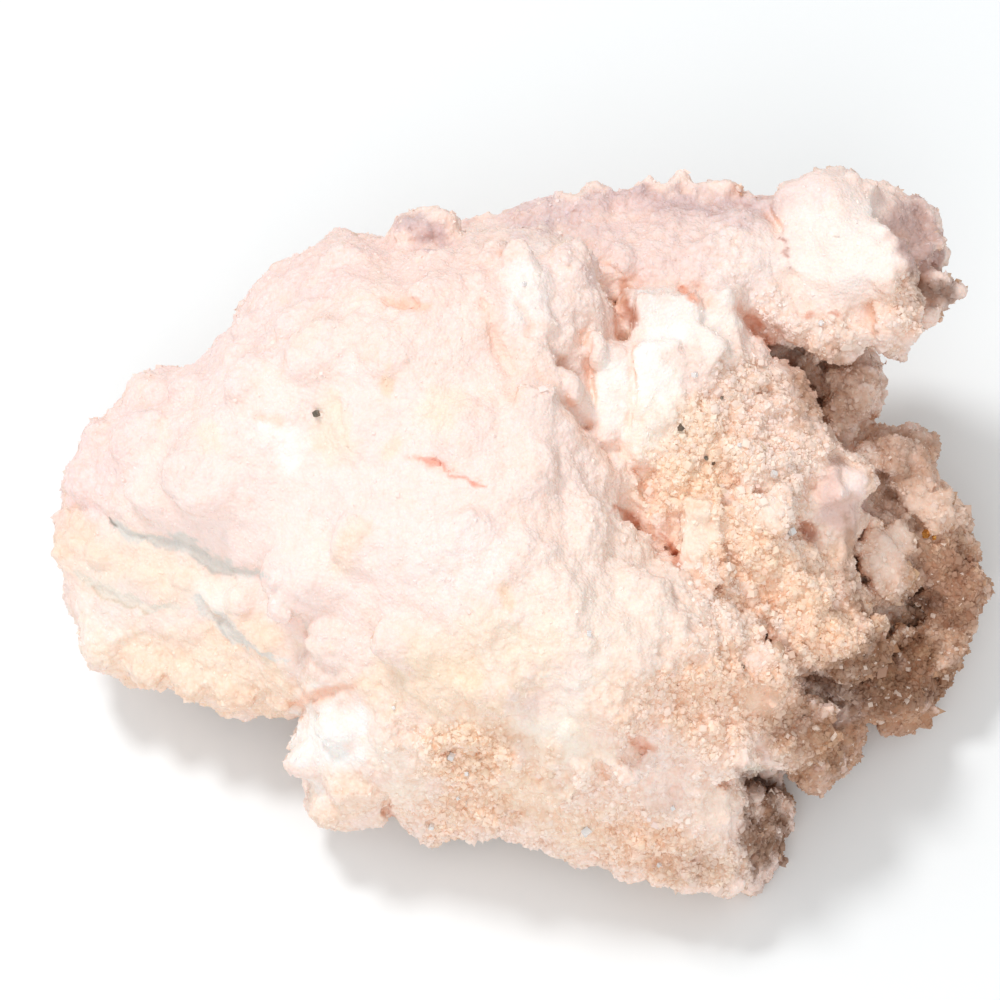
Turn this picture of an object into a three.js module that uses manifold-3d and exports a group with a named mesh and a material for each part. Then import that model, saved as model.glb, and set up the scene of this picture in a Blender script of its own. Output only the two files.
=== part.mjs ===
// Kutnahorite specimen: one cluster of plates and lobes grown together, lying on its broad back.
// One closed body. Millimetres, +Z up, origin on the resting face, at the centre of the bounding box.
import * as THREE from 'three';
import { mergeVertices } from 'three/addons/utils/BufferGeometryUtils.js';
import Module from 'manifold-3d';

// ---- driving dimensions ----
const UNIT = 0.11;            // mm per layout unit; the specimen is about 102 mm across
const FACE_TILT = 60;         // degrees between the direction that the face looks in and the horizontal
const REST_DROP = 236;        // layout units from the middle of the face frame down to the resting face
const TAPER = 3600;           // layout units; the face frame narrows towards the front by w / TAPER
const CENTRE = [2.395, 1.339];  // mm, middle of the bounding box before it is moved to the origin
const ROUGH = { warp: 7, warpSize: 46, swell: 5, swellSize: 70, lump: 3.2, lumpSize: 30 }; // uneven growth
const COLOUR = 0xf1ddd2;

// ---- layout, in the face frame: x across the face, y down it, w out of it (layout units) ----
// The specimen is clumps grown into each other. Each clump is a subdivided icosahedron whose corners slide in
// from the ellipsoid "reach" towards "hub" until they meet its plates, lobes and ridges.
// A plate is an outline with a top and a bottom surface through the listed [x, y, w] points.
// edge is the radius round its outline, join the radius where it grows into the rest.
// A lobe is [x, y, w, half width, half height, half depth, turn in degrees, join].
// A ridge is a path of [x, y, w, radius] points.
const CLUMPS = [
  { // body and big left plate
    hub: [480, 540, -60], reach: [520, 420, 420], detail: 14,
    plates: [
      { // body of the specimen behind the plates
        edge: 38, join: 18,
        outline: [
          [80, 540], [95, 470], [150, 400], [230, 350], [300, 265], [400, 240], [500, 225],
          [600, 212], [700, 208], [800, 200], [880, 215], [915, 265], [880, 330], [850, 400],
          [880, 450], [935, 490], [955, 560], [950, 620], [920, 690], [850, 720], [790, 770],
          [755, 850], [660, 860], [560, 835], [450, 820], [340, 800], [310, 740], [290, 690],
          [180, 670], [100, 640],
        ],
        top: [
          [90, 540, -70], [150, 420, -40], [300, 300, 0], [450, 260, 10], [600, 240, 0], [700, 220, -10], [800, 230, -20],
          [900, 270, -60], [860, 400, -95], [930, 480, -105], [940, 600, -115], [890, 700, -110], [800, 740, -60], [740, 820, -10],
          [600, 800, 40], [450, 780, 40], [330, 750, 20], [200, 640, -30], [300, 500, 40], [450, 450, 60], [600, 500, 60],
          [700, 500, 20], [780, 480, -10], [600, 320, 10], [700, 320, -10], [800, 340, -60], [820, 620, -10], [700, 680, 50],
        ],
        bottom: [
          [90, 540, -95], [150, 420, -120], [300, 300, -130], [450, 260, -120], [600, 240, -120], [700, 220, -120], [800, 230, -110],
          [900, 270, -130], [860, 400, -190], [930, 480, -170], [940, 600, -170], [890, 700, -150], [800, 740, -110], [740, 820, -60],
          [600, 800, -60], [450, 780, -70], [330, 750, -70], [200, 640, -110], [230, 500, -190], [330, 470, -262], [430, 470, -322],
          [560, 450, -338], [680, 470, -312], [790, 480, -235], [560, 330, -318], [430, 350, -262], [690, 340, -270], [330, 370, -205],
          [600, 600, -238], [450, 600, -226], [710, 610, -205], [600, 700, -146], [780, 620, -185], [460, 700, -140], [330, 600, -165],
          [820, 330, -190],
        ],
      },
      { // large domed plate that fills the left and the middle of the face
        edge: 20, join: 14,
        outline: [
          [62, 512], [67, 495], [70, 466], [90, 443], [97, 421], [121, 411], [131, 390],
          [148, 375], [174, 369], [204, 348], [228, 321], [242, 300], [263, 272], [288, 254],
          [322, 235], [350, 230], [376, 236], [410, 240], [440, 236], [466, 227], [500, 231],
          [546, 229], [582, 246], [597, 262], [603, 285], [612, 300], [616, 330], [606, 346],
          [588, 352], [560, 356], [552, 370], [562, 396], [568, 413], [582, 431], [602, 451],
          [618, 470], [622, 500], [628, 518], [650, 540], [674, 556], [700, 584], [730, 598],
          [752, 610], [770, 634], [792, 652], [800, 680], [798, 712], [824, 738], [806, 756],
          [765, 762], [742, 780], [700, 800], [640, 800], [560, 800], [470, 790], [400, 770],
          [330, 740], [310, 700], [296, 660], [316, 636], [299, 620], [278, 600], [282, 586],
          [268, 574], [243, 572], [225, 571], [214, 559], [199, 549], [160, 544], [136, 543],
          [120, 530], [105, 518],
        ],
        top: [
          [60, 515, -48], [72, 470, -44], [95, 425, -46], [130, 390, -42], [175, 370, -38], [230, 322, -36], [262, 272, -34],
          [320, 238, -20], [375, 236, 0], [430, 238, 24], [500, 232, 44], [560, 236, 66], [592, 256, 74], [110, 495, 6],
          [100, 450, -8], [150, 440, 34], [200, 405, 58], [250, 360, 74], [300, 310, 76], [350, 275, 78], [420, 285, 112],
          [480, 275, 124], [540, 285, 128], [588, 300, 104], [606, 330, 84], [200, 500, 74], [300, 440, 122], [350, 390, 138],
          [400, 440, 162], [450, 390, 164], [500, 345, 146], [545, 400, 164], [575, 430, 150], [600, 460, 146], [618, 500, 142],
          [130, 525, 14], [200, 545, 48], [300, 560, 118], [400, 550, 184], [500, 490, 202], [560, 495, 186], [600, 520, 162],
          [650, 560, 150], [300, 630, 92], [400, 640, 166], [500, 600, 216], [580, 600, 212], [650, 610, 192], [700, 620, 172],
          [750, 635, 142], [785, 655, 112], [330, 700, 96], [450, 700, 166], [550, 700, 194], [620, 680, 198], [700, 700, 166],
          [760, 700, 128], [800, 730, 78], [360, 760, 70], [470, 760, 110], [560, 780, 120], [650, 790, 110], [740, 770, 90],
        ],
        bottom: [
          [60, 515, -80], [150, 440, -60], [300, 440, -20], [300, 300, -20], [500, 250, -30], [590, 260, -30], [600, 340, -20],
          [600, 450, 30], [620, 510, 30], [700, 590, 40], [790, 660, 0], [800, 740, -20], [500, 600, 40], [700, 800, -20],
          [450, 780, -20], [310, 700, 0], [200, 550, -30], [280, 590, 10], [120, 530, -60],
        ],
      },
      { // upper ledge under the left edge of the dome
        edge: 9, join: 6,
        outline: [
          [53, 530], [57, 515], [66, 506], [104, 510], [130, 520], [165, 535], [210, 545],
          [250, 560], [300, 585], [330, 620], [320, 650], [297, 669], [276, 656], [256, 651],
          [242, 642], [229, 632], [222, 617], [207, 611], [196, 599], [178, 609], [150, 604],
          [120, 600], [98, 592], [84, 579], [72, 577], [60, 560],
        ],
        top: [
          [56, 530, -50], [66, 510, -44], [80, 560, -36], [100, 545, -16], [130, 590, -12], [150, 560, 12], [200, 575, 30],
          [250, 600, 54], [290, 640, 66], [190, 600, 20], [240, 635, 46], [320, 620, 80],
        ],
        bottom: [
          [56, 530, -80], [320, 620, 20], [200, 600, -60], [100, 560, -80],
        ],
      },
      { // lower ledge, down to the left rim
        edge: 12, join: 7,
        outline: [
          [66, 584], [74, 575], [100, 570], [160, 580], [220, 590], [300, 620], [330, 660],
          [326, 690], [302, 716], [280, 720], [241, 719], [226, 709], [180, 696], [150, 688],
          [120, 689], [104, 680], [90, 671], [80, 650], [73, 612],
        ],
        top: [
          [70, 590, -60], [90, 600, -34], [120, 610, -14], [160, 618, 2], [200, 630, 14], [240, 650, 30], [290, 675, 52],
          [320, 660, 70], [80, 650, -62], [100, 668, -58], [130, 680, -58], [150, 655, -24], [200, 670, -6], [180, 692, -50],
          [230, 695, -14], [240, 715, -48], [280, 700, 18], [285, 718, -26], [310, 700, 30],
        ],
        bottom: [
          [70, 590, -95], [150, 640, -110], [300, 640, -40], [240, 715, -90], [120, 685, -95],
        ],
      },
      { // pale lobe at the lower left
        edge: 16, join: 8,
        outline: [
          [283, 747], [290, 738], [294, 730], [301, 716], [318, 702], [350, 686], [400, 690],
          [440, 720], [436, 770], [420, 800], [398, 820], [386, 812], [376, 826], [350, 828],
          [325, 825], [311, 812], [307, 790], [295, 766],
        ],
        top: [
          [286, 746, 4], [300, 720, 26], [330, 705, 66], [370, 700, 108], [420, 720, 132], [300, 765, 18], [330, 760, 62],
          [370, 755, 98], [420, 760, 112], [315, 800, 12], [350, 800, 44], [385, 795, 58], [330, 822, 0], [370, 825, 10],
          [405, 805, 50],
        ],
        bottom: [
          [286, 746, -30], [350, 760, -50], [420, 720, -20], [350, 825, -50],
        ],
      },
      { // grainy lobe at the bottom
        edge: 18, join: 9,
        outline: [
          [396, 770], [410, 730], [440, 705], [500, 700], [540, 730], [560, 770], [546, 815],
          [530, 833], [518, 838], [501, 831], [470, 842], [436, 844], [412, 834], [394, 822],
          [390, 800],
        ],
        top: [
          [400, 770, 78], [430, 740, 128], [490, 730, 150], [540, 750, 138], [410, 800, 52], [450, 785, 96], [500, 780, 108],
          [545, 790, 104], [420, 828, 22], [450, 835, 30], [480, 828, 42], [510, 820, 52], [530, 825, 48],
        ],
        bottom: [
          [400, 770, -30], [500, 720, -20], [460, 840, -50], [540, 790, -40],
        ],
      },
      { // lobe right of it
        edge: 14, join: 9,
        outline: [
          [508, 740], [560, 720], [620, 740], [640, 790], [622, 830], [612, 856], [590, 857],
          [560, 852], [522, 838], [505, 820],
        ],
        top: [
          [520, 770, 116], [570, 750, 150], [620, 770, 130], [530, 810, 78], [570, 800, 104], [615, 810, 92], [540, 840, 38],
          [580, 838, 60], [600, 852, 40],
        ],
        bottom: [
          [520, 770, -30], [600, 760, -20], [560, 850, -30],
        ],
      },
      { // lobe at the lower right corner
        edge: 9, join: 7,
        outline: [
          [600, 790], [625, 750], [655, 744], [682, 762], [712, 778], [738, 786], [748, 800],
          [742, 830], [750, 860], [752, 882], [745, 894], [722, 900], [713, 884], [700, 882],
          [684, 887], [652, 881], [636, 883], [616, 878], [606, 858],
        ],
        top: [
          [610, 800, 106], [640, 765, 126], [680, 775, 112], [720, 790, 100], [640, 810, 104], [690, 820, 98], [725, 815, 92],
          [740, 830, 66], [620, 850, 62], [660, 850, 70], [700, 850, 76], [730, 860, 62], [620, 872, 34], [660, 876, 40],
          [700, 876, 44], [725, 892, 34], [745, 880, 34],
        ],
        bottom: [
          [610, 800, -20], [700, 780, -20], [660, 880, -20], [740, 880, -30],
        ],
      },
      { // its shaded right flank
        edge: 14, join: 8,
        outline: [
          [728, 790], [760, 786], [791, 799], [789, 830], [781, 841], [785, 860], [766, 873],
          [748, 893], [728, 880],
        ],
        top: [
          [730, 800, 60], [745, 820, 46], [770, 810, 14], [785, 805, -12], [760, 850, 20], [780, 852, -14], [745, 885, 16],
        ],
        bottom: [
          [730, 800, -60], [785, 830, -70], [745, 885, -50],
        ],
      },
      { // small raised slab on the dome
        edge: 5, join: 3,
        outline: [
          [511, 394], [515, 386], [524, 383], [548, 388], [562, 404], [578, 428], [588, 446],
          [566, 462], [540, 466], [518, 456], [507, 436], [506, 412],
        ],
        top: [
          [513, 388, 166], [550, 390, 168], [562, 408, 164], [584, 444, 158], [560, 462, 172], [510, 440, 186], [520, 460, 190],
          [508, 412, 180], [540, 425, 182],
        ],
        bottom: [
          [513, 388, 120], [580, 440, 120], [510, 440, 130],
        ],
      },
    ],
    lobes: [
      [110, 448, -46, 30, 32, 30, 0, 8], [92, 484, -44, 30, 34, 30, 0, 8], [156, 394, -40, 30, 22, 26, -22, 8],
      [281, 445, 96, 24, 26, 26, 0, 9], [376, 432, 128, 46, 40, 32, 10, 12], [320, 575, 112, 60, 40, 34, 0, 16],
      [240, 475, 68, 70, 46, 34, 10, 16], [420, 350, 118, 56, 44, 34, 0, 16], [440, 560, 168, 70, 50, 36, 0, 16],
      [600, 655, 180, 70, 44, 34, 20, 16], [216, 596, 22, 22, 18, 18, 10, 5], [765, 668, 104, 30, 30, 32, 30, 6],
      [712, 740, 112, 46, 34, 38, 20, 14], [662, 718, 142, 42, 32, 34, 10, 14], [770, 745, 66, 26, 20, 28, 0, 6],
      [300, 360, -150, 70, 54, 60, -20, 20], [430, 300, -190, 80, 52, 64, 0, 20], [600, 285, -225, 70, 50, 66, 10, 14],
      [720, 300, -200, 74, 56, 70, -10, 22], [800, 400, -200, 70, 60, 66, 0, 20], [190, 480, -120, 80, 50, 50, 10, 18],
      [230, 590, -110, 90, 50, 56, 0, 18], [640, 755, -62, 86, 46, 46, 0, 18], [430, 742, -66, 74, 44, 48, 0, 18],
      [540, 250, -110, 70, 32, 60, 0, 12], [700, 240, -110, 90, 34, 60, 0, 12], [350, 270, -70, 60, 34, 40, -10, 12],
      [424, 240, -6, 44, 30, 26, -4, 6],
    ],
    ridges: [
      { path: [[516, 250, 118, 12], [530, 285, 122, 15], [546, 325, 132, 14]], join: 6 },
      { path: [[536, 352, 140, 16], [545, 385, 142, 14]], join: 5 },
      { path: [[566, 258, 96, 18], [580, 300, 92, 18], [590, 335, 84, 16]], join: 8 },
    ],
  },
  { // right plate with its finger-like ridges
    hub: [705, 470, 10], reach: [260, 260, 170], detail: 8,
    plates: [
      { // second plate, right of the diagonal crevice
        edge: 12, join: 8,
        outline: [
          [548, 360], [560, 347], [590, 344], [606, 340], [628, 342], [634, 332], [637, 293],
          [665, 289], [681, 300], [700, 304], [712, 289], [722, 285], [736, 300], [741, 318],
          [756, 334], [775, 354], [791, 370], [801, 386], [816, 411], [832, 440], [850, 461],
          [866, 470], [871, 484], [860, 505], [867, 517], [852, 540], [861, 549], [848, 566],
          [859, 590], [868, 618], [880, 650], [877, 668], [845, 677], [806, 672], [788, 647],
          [768, 624], [752, 606], [728, 594], [704, 576], [680, 554], [655, 537], [638, 516],
          [622, 500], [614, 470], [598, 446], [578, 426], [563, 406],
        ],
        top: [
          [555, 360, 112], [575, 352, 110], [610, 350, 106], [640, 300, 78], [680, 312, 82], [725, 297, 64], [745, 330, 60],
          [660, 350, 104], [700, 350, 100], [750, 362, 82], [790, 380, 52], [580, 400, 84], [604, 438, 78], [645, 450, 108],
          [700, 430, 110], [750, 425, 96], [800, 425, 74], [830, 447, 46], [640, 500, 94], [700, 500, 118], [750, 500, 112],
          [796, 480, 102], [822, 492, 72], [850, 482, 60], [866, 486, 40], [680, 540, 108], [740, 560, 118], [790, 560, 104],
          [826, 540, 60], [850, 530, 36], [858, 550, 24], [846, 600, 62], [800, 620, 108], [840, 640, 86], [872, 650, 46],
          [770, 612, 106], [850, 670, 48], [812, 666, 72],
        ],
        bottom: [
          [555, 360, 40], [640, 300, 20], [745, 320, 0], [800, 420, -40], [866, 486, -40], [850, 560, -40], [870, 650, -30],
          [810, 665, -20], [700, 560, 0], [620, 490, 0],
        ],
      },
    ],
    lobes: [
      [700, 528, 106, 26, 36, 26, 0, 6], [776, 506, 106, 16, 26, 16, 0, 5], [858, 484, 42, 15, 18, 18, 0, 3],
      [640, 420, 98, 22, 52, 24, 4, 6],
    ],
    ridges: [
      { path: [[572, 352, 98, 15], [580, 392, 92, 13], [588, 410, 80, 9]], join: 3 },
      { path: [[611, 364, 92, 19], [609, 400, 86, 18], [606, 432, 78, 12], [608, 446, 72, 7]], join: 3 },
      { path: [[656, 364, 88, 24], [652, 405, 90, 24], [646, 450, 86, 22]], join: 4 },
    ],
  },
  { // slope that rises behind both plates
    hub: [690, 262, -20], reach: [260, 130, 130], detail: 6,
    plates: [
      { // slope that rises behind both plates
        edge: 16, join: 9,
        outline: [
          [384, 246], [430, 232], [470, 222], [506, 214], [526, 204], [545, 204], [559, 198],
          [577, 203], [591, 195], [605, 202], [626, 197], [649, 188], [662, 191], [675, 187],
          [700, 192], [727, 192], [745, 200], [764, 204], [785, 230], [800, 280], [806, 330],
          [790, 352], [768, 352], [748, 334], [735, 310], [700, 312], [640, 310], [600, 300],
          [560, 270], [480, 260],
        ],
        top: [
          [400, 250, -10], [450, 232, -8], [510, 216, -16], [560, 206, -18], [600, 214, -6], [650, 198, -10], [700, 200, -8],
          [760, 208, 0], [560, 235, 6], [620, 250, 30], [680, 236, 36], [740, 236, 36], [786, 240, 20], [640, 285, 44],
          [700, 275, 54], [760, 285, 36], [796, 320, 26], [770, 340, 10], [740, 305, 40],
        ],
        bottom: [
          [450, 235, -50], [600, 205, -60], [760, 210, -60], [640, 290, -40], [790, 330, -50],
        ],
      },
    ],
    lobes: [

    ],
    ridges: [],
  },
  { // knob at the upper right, with one flat bright face
    hub: [848, 262, 0], reach: [150, 150, 120], detail: 7,
    plates: [
      { // knob at the upper right, with one flat bright face
        edge: 7, join: 7,
        outline: [
          [772, 206], [776, 188], [782, 181], [800, 179], [806, 172], [816, 167], [832, 172],
          [850, 176], [866, 184], [880, 188], [894, 199], [903, 215], [912, 240], [916, 262],
          [916, 300], [910, 325], [900, 338], [884, 342], [868, 332], [852, 348], [838, 366],
          [816, 362], [803, 346], [788, 330], [776, 300], [784, 270], [786, 240], [778, 222],
        ],
        top: [
          [775, 205, 16], [800, 182, 14], [820, 172, 10], [835, 185, 34], [820, 210, 34], [850, 215, 48], [885, 245, 60],
          [902, 265, 62], [880, 290, 66], [845, 295, 54], [810, 282, 40], [788, 250, 22], [862, 190, 14], [885, 205, 4],
          [905, 230, 0], [912, 250, 16], [912, 290, 36], [900, 325, 40], [885, 320, 52], [860, 325, 44], [836, 345, 34],
          [812, 340, 34], [790, 315, 24], [838, 362, 16],
        ],
        bottom: [
          [775, 205, -50], [890, 210, -60], [912, 300, -30], [830, 360, -40], [790, 300, -50],
        ],
      },
    ],
    lobes: [
      [934, 286, -42, 29, 17, 24, 18, 5], [918, 238, -44, 26, 38, 40, 0, 8], [932, 252, -60, 12, 20, 26, 0, 6],
      [892, 324, 22, 26, 20, 28, 10, 5], [898, 346, -6, 15, 13, 20, -20, 6], [926, 318, -20, 16, 10, 18, -20, 6],
      [830, 290, -120, 60, 60, 60, 20, 18],
    ],
    ridges: [],
  },
  { // shaded lobes below the knob
    hub: [852, 440, -110], reach: [130, 150, 140], detail: 5,
    plates: [],
    lobes: [
      [894, 456, -94, 38, 33, 44, 40, 12], [850, 392, -96, 32, 56, 60, 10, 16], [850, 520, -158, 56, 70, 60, 0, 16],
    ],
    ridges: [],
  },
  { // rounded lobes on the right rim
    hub: [902, 560, -104], reach: [130, 140, 120], detail: 6,
    plates: [],
    lobes: [
      [886, 562, -66, 32, 54, 46, 8, 8], [926, 508, -84, 38, 32, 38, 20, 12], [952, 524, -98, 21, 26, 30, 20, 10],
      [930, 558, -76, 32, 26, 32, 30, 8], [946, 596, -112, 39, 44, 48, -10, 14], [850, 520, -158, 56, 70, 60, 0, 16],
    ],
    ridges: [],
  },
  { // lobes at the lower right rim
    hub: [868, 688, -96], reach: [140, 130, 120], detail: 6,
    plates: [],
    lobes: [
      [926, 664, -112, 28, 36, 42, 0, 12], [902, 696, -98, 36, 36, 38, 0, 14], [858, 688, -80, 62, 34, 38, -10, 14],
      [843, 730, -56, 24, 32, 40, 0, 10], [810, 766, -14, 33, 24, 38, 20, 12], [810, 632, -134, 64, 54, 50, 0, 20],
    ],
    ridges: [
      { path: [[836, 694, -40, 9], [870, 652, -50, 9], [900, 640, -64, 10], [950, 620, -84, 12]], join: 6 },
    ],
  },
];

// ---- smooth surface through scattered points (thin plate spline) ----
function solve(A, b) {
  const n = b.length;
  for (let i = 0; i < n; i++) {
    let p = i;
    for (let r = i + 1; r < n; r++) if (Math.abs(A[r][i]) > Math.abs(A[p][i])) p = r;
    [A[i], A[p]] = [A[p], A[i]];
    [b[i], b[p]] = [b[p], b[i]];
    for (let r = i + 1; r < n; r++) {
      const k = A[r][i] / A[i][i];
      if (k === 0) continue;
      for (let c = i; c < n; c++) A[r][c] -= k * A[i][c];
      b[r] -= k * b[i];
    }
  }
  const x = new Array(n).fill(0);
  for (let i = n - 1; i >= 0; i--) {
    let s = b[i];
    for (let c = i + 1; c < n; c++) s -= A[i][c] * x[c];
    x[i] = s / A[i][i];
  }
  return x;
}
const bend = (d2) => (d2 > 1e-12 ? 0.5 * d2 * Math.log(d2) : 0);
function sheet(points) {
  const n = points.length;
  const q = points.map(([x, y]) => [x / 100, y / 100]);
  const A = [];
  for (let i = 0; i < n; i++) {
    const row = q.map((p) => bend((p[0] - q[i][0]) ** 2 + (p[1] - q[i][1]) ** 2));
    row[i] += 0.004;
    A.push([...row, 1, q[i][0], q[i][1]]);
  }
  A.push([...q.map(() => 1), 0, 0, 0], [...q.map((p) => p[0]), 0, 0, 0], [...q.map((p) => p[1]), 0, 0, 0]);
  const s = solve(A, [...points.map((p) => p[2]), 0, 0, 0]);
  return (x, y) => {
    const X = x / 100, Y = y / 100;
    let w = s[n] + s[n + 1] * X + s[n + 2] * Y;
    for (let i = 0; i < n; i++) w += s[i] * bend((X - q[i][0]) ** 2 + (Y - q[i][1]) ** 2);
    return w;
  };
}

// ---- distances ----
function outlineDistance(outline, x, y) {
  let d = Infinity, inside = false;
  for (let i = 0, n = outline.length; i < n; i++) {
    const a = outline[i], b = outline[(i + 1) % n];
    const ex = b[0] - a[0], ey = b[1] - a[1], wx = x - a[0], wy = y - a[1];
    const t = Math.min(1, Math.max(0, (wx * ex + wy * ey) / (ex * ex + ey * ey + 1e-12)));
    d = Math.min(d, (wx - ex * t) ** 2 + (wy - ey * t) ** 2);
    if ((a[1] <= y) !== (b[1] <= y) && x < a[0] + (wy * ex) / ey) inside = !inside;
  }
  return inside ? -Math.sqrt(d) : Math.sqrt(d);
}
function pathDistance(path, x, y, w) {
  let best = Infinity;
  for (let i = 0; i < Math.max(1, path.length - 1); i++) {
    const a = path[i], b = path[Math.min(i + 1, path.length - 1)];
    const ex = b[0] - a[0], ey = b[1] - a[1], ew = b[2] - a[2];
    const px = x - a[0], py = y - a[1], pw = w - a[2];
    const t = Math.min(1, Math.max(0, (px * ex + py * ey + pw * ew) / (ex * ex + ey * ey + ew * ew + 1e-9)));
    best = Math.min(best, Math.hypot(px - ex * t, py - ey * t, pw - ew * t) - (a[3] + (b[3] - a[3]) * t));
  }
  return best;
}
const join = (a, b, k) => {
  const h = Math.min(1, Math.max(0, 0.5 + (0.5 * (b - a)) / k));
  return b + (a - b) * h - k * h * (1 - h);
};

// ---- repeatable unevenness ----
function scramble(i, j, k, seed) {
  let n = Math.imul(i, 0x8da6b343) ^ Math.imul(j, 0xd8163841) ^ Math.imul(k, 0xcb1ab31f) ^ Math.imul(seed, 0x9e3779b1);
  n = Math.imul(n ^ (n >>> 15), 0x2c1b3c6d);
  n = Math.imul(n ^ (n >>> 12), 0x297a2d39);
  return (n ^ (n >>> 15)) >>> 0;
}
function uneven(x, y, w, size, seed) {
  const p = [x / size, y / size, w / size], c = p.map(Math.floor), f = p.map((v, i) => v - c[i]);
  const u = f.map((t) => t * t * t * (t * (t * 6 - 15) + 10));
  let s = 0;
  for (let a = 0; a < 2; a++) for (let b = 0; b < 2; b++) for (let d = 0; d < 2; d++) {
    const h = scramble(c[0] + a, c[1] + b, c[2] + d, seed);
    const g = [(h & 1023) / 511.5 - 1, ((h >>> 10) & 1023) / 511.5 - 1, ((h >>> 20) & 1023) / 511.5 - 1];
    s += (a ? u[0] : 1 - u[0]) * (b ? u[1] : 1 - u[1]) * (d ? u[2] : 1 - u[2])
      * (g[0] * (f[0] - a) + g[1] * (f[1] - b) + g[2] * (f[2] - d));
  }
  return s * 1.6;
}

// ---- one clump as a distance, in the face frame ----
function prepare(p) {
  const xs = p.outline.map((q) => q[0]), ys = p.outline.map((q) => q[1]), m = p.join + 30;
  return { ...p, topAt: sheet(p.top), bottomAt: sheet(p.bottom), x0: Math.min(...xs) - m, x1: Math.max(...xs) + m, y0: Math.min(...ys) - m, y1: Math.max(...ys) + m };
}
function plateDistance(p, x, y, w) {
  const top = p.topAt(x, y), bottom = Math.min(p.bottomAt(x, y), top - 2 * p.edge - 2);
  const tx = (p.topAt(x + 2, y) - top) / 2, ty = (p.topAt(x, y + 2) - top) / 2;
  const b = Math.max((w - top) / Math.hypot(1, tx, ty), (bottom - w) / 1.15);
  const a = outlineDistance(p.outline, x, y), r = p.edge;
  return Math.hypot(Math.max(a + r, 0), Math.max(b + r, 0)) - r + Math.min(Math.max(a + r, b + r), 0);
}
function clumpDistance(clump, plates, X, Y, W) {
  const g = (seed) => uneven(X, Y, W, ROUGH.warpSize, seed) * (ROUGH.warp + 5 * Math.min(1, Math.max(0, (-40 - W) / 60)));
  const x = X + g(11), y = Y + g(12), w = W + g(13);
  let d = 80;
  for (const p of plates) if (x > p.x0 && x < p.x1 && y > p.y0 && y < p.y1) d = join(d, plateDistance(p, x, y, w), p.join);
  for (const [cx, cy, cw, rx, ry, rw, turn, k] of clump.lobes) {
    const R = Math.max(rx, ry, rw) + 40;
    if (Math.abs(x - cx) > R || Math.abs(y - cy) > R || Math.abs(w - cw) > R) continue;
    const c = Math.cos((turn * Math.PI) / 180), s = Math.sin((turn * Math.PI) / 180);
    const u = (x - cx) * c + (y - cy) * s, v = -(x - cx) * s + (y - cy) * c, q = w - cw;
    const k0 = Math.hypot(u / rx, v / ry, q / rw), k1 = Math.hypot(u / rx ** 2, v / ry ** 2, q / rw ** 2) + 1e-9;
    d = join(d, (k0 * (k0 - 1)) / k1, k);
  }
  for (const r of clump.ridges) d = join(d, pathDistance(r.path, x, y, w), r.join);
  return d + uneven(X, Y, W, ROUGH.swellSize, 21) * ROUGH.swell + uneven(X, Y, W, ROUGH.lumpSize, 22) * ROUGH.lump;
}

// ---- face frame to millimetres, resting face at z = 0 ----
const tilt = (FACE_TILT * Math.PI) / 180;
function place(x, y, w) {
  const s = 1 - w / TAPER, u = (x - 500) * s, v = (500 - y) * s;
  return new THREE.Vector3(
    u * UNIT - CENTRE[0],
    (v * Math.sin(tilt) - w * Math.cos(tilt)) * UNIT - CENTRE[1],
    (v * Math.cos(tilt) + w * Math.sin(tilt) + REST_DROP) * UNIT,
  );
}

function clumpGeometry(clump) {
  const { hub, reach } = clump, plates = clump.plates.map(prepare);
  const ball = new THREE.IcosahedronGeometry(1, clump.detail);
  ball.deleteAttribute('normal');
  ball.deleteAttribute('uv');
  const g = mergeVertices(ball, 1e-5);
  const pos = g.getAttribute('position');
  for (let i = 0; i < pos.count; i++) {
    const e = [pos.getX(i) * reach[0], -pos.getY(i) * reach[1], pos.getZ(i) * reach[2]];
    const at = (t) => clumpDistance(clump, plates, hub[0] + e[0] * t, hub[1] + e[1] * t, hub[2] + e[2] * t);
    const step = 3.5 / Math.hypot(...e);
    let t = 1;
    while (t > 0.05 && at(t) > 0) t -= step;
    let lo = t, hi = t + step;
    for (let k = 0; k < 12; k++) { const m = (lo + hi) / 2; if (at(m) > 0) hi = m; else lo = m; }
    const p = place(hub[0] + e[0] * lo, hub[1] + e[1] * lo, hub[2] + e[2] * lo);
    if (Math.abs(p.z) < 0.3) p.z = p.z < 0 ? -0.3 : 0.3;
    pos.setXYZ(i, p.x, p.y, p.z);
  }
  return g;
}

// ---- the clumps in one solid, with the worn flat that it rests on ----
const wasm = await Module();
wasm.setup();
function toSolid(geometry) {
  const g = geometry.clone();
  g.deleteAttribute('normal');
  g.deleteAttribute('uv');
  const m = mergeVertices(g, 1e-5);
  return new wasm.Manifold(new wasm.Mesh({
    numProp: 3,
    vertProperties: new Float32Array(m.getAttribute('position').array),
    triVerts: new Uint32Array(m.getIndex().array),
  }));
}
function toGeometry(solid) {
  const m = solid.getMesh();
  const g = new THREE.BufferGeometry();
  g.setAttribute('position', new THREE.BufferAttribute(new Float32Array(m.vertProperties), 3));
  g.setIndex(new THREE.BufferAttribute(new Uint32Array(m.triVerts), 1));
  g.computeVertexNormals();
  return g;
}
const below = new THREE.BoxGeometry(200, 200, 60);
below.translate(0, 0, -30);
const body = CLUMPS.map((c) => toSolid(clumpGeometry(c))).reduce((a, b) => a.add(b)).subtract(toSolid(below));

const specimen = new THREE.Mesh(
  toGeometry(body),
  new THREE.MeshStandardMaterial({ color: COLOUR, roughness: 0.62, metalness: 0 }),
);
specimen.name = 'specimen';

const part = new THREE.Group();
part.name = 'kutnahorite';
part.add(specimen);
export default part;
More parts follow.
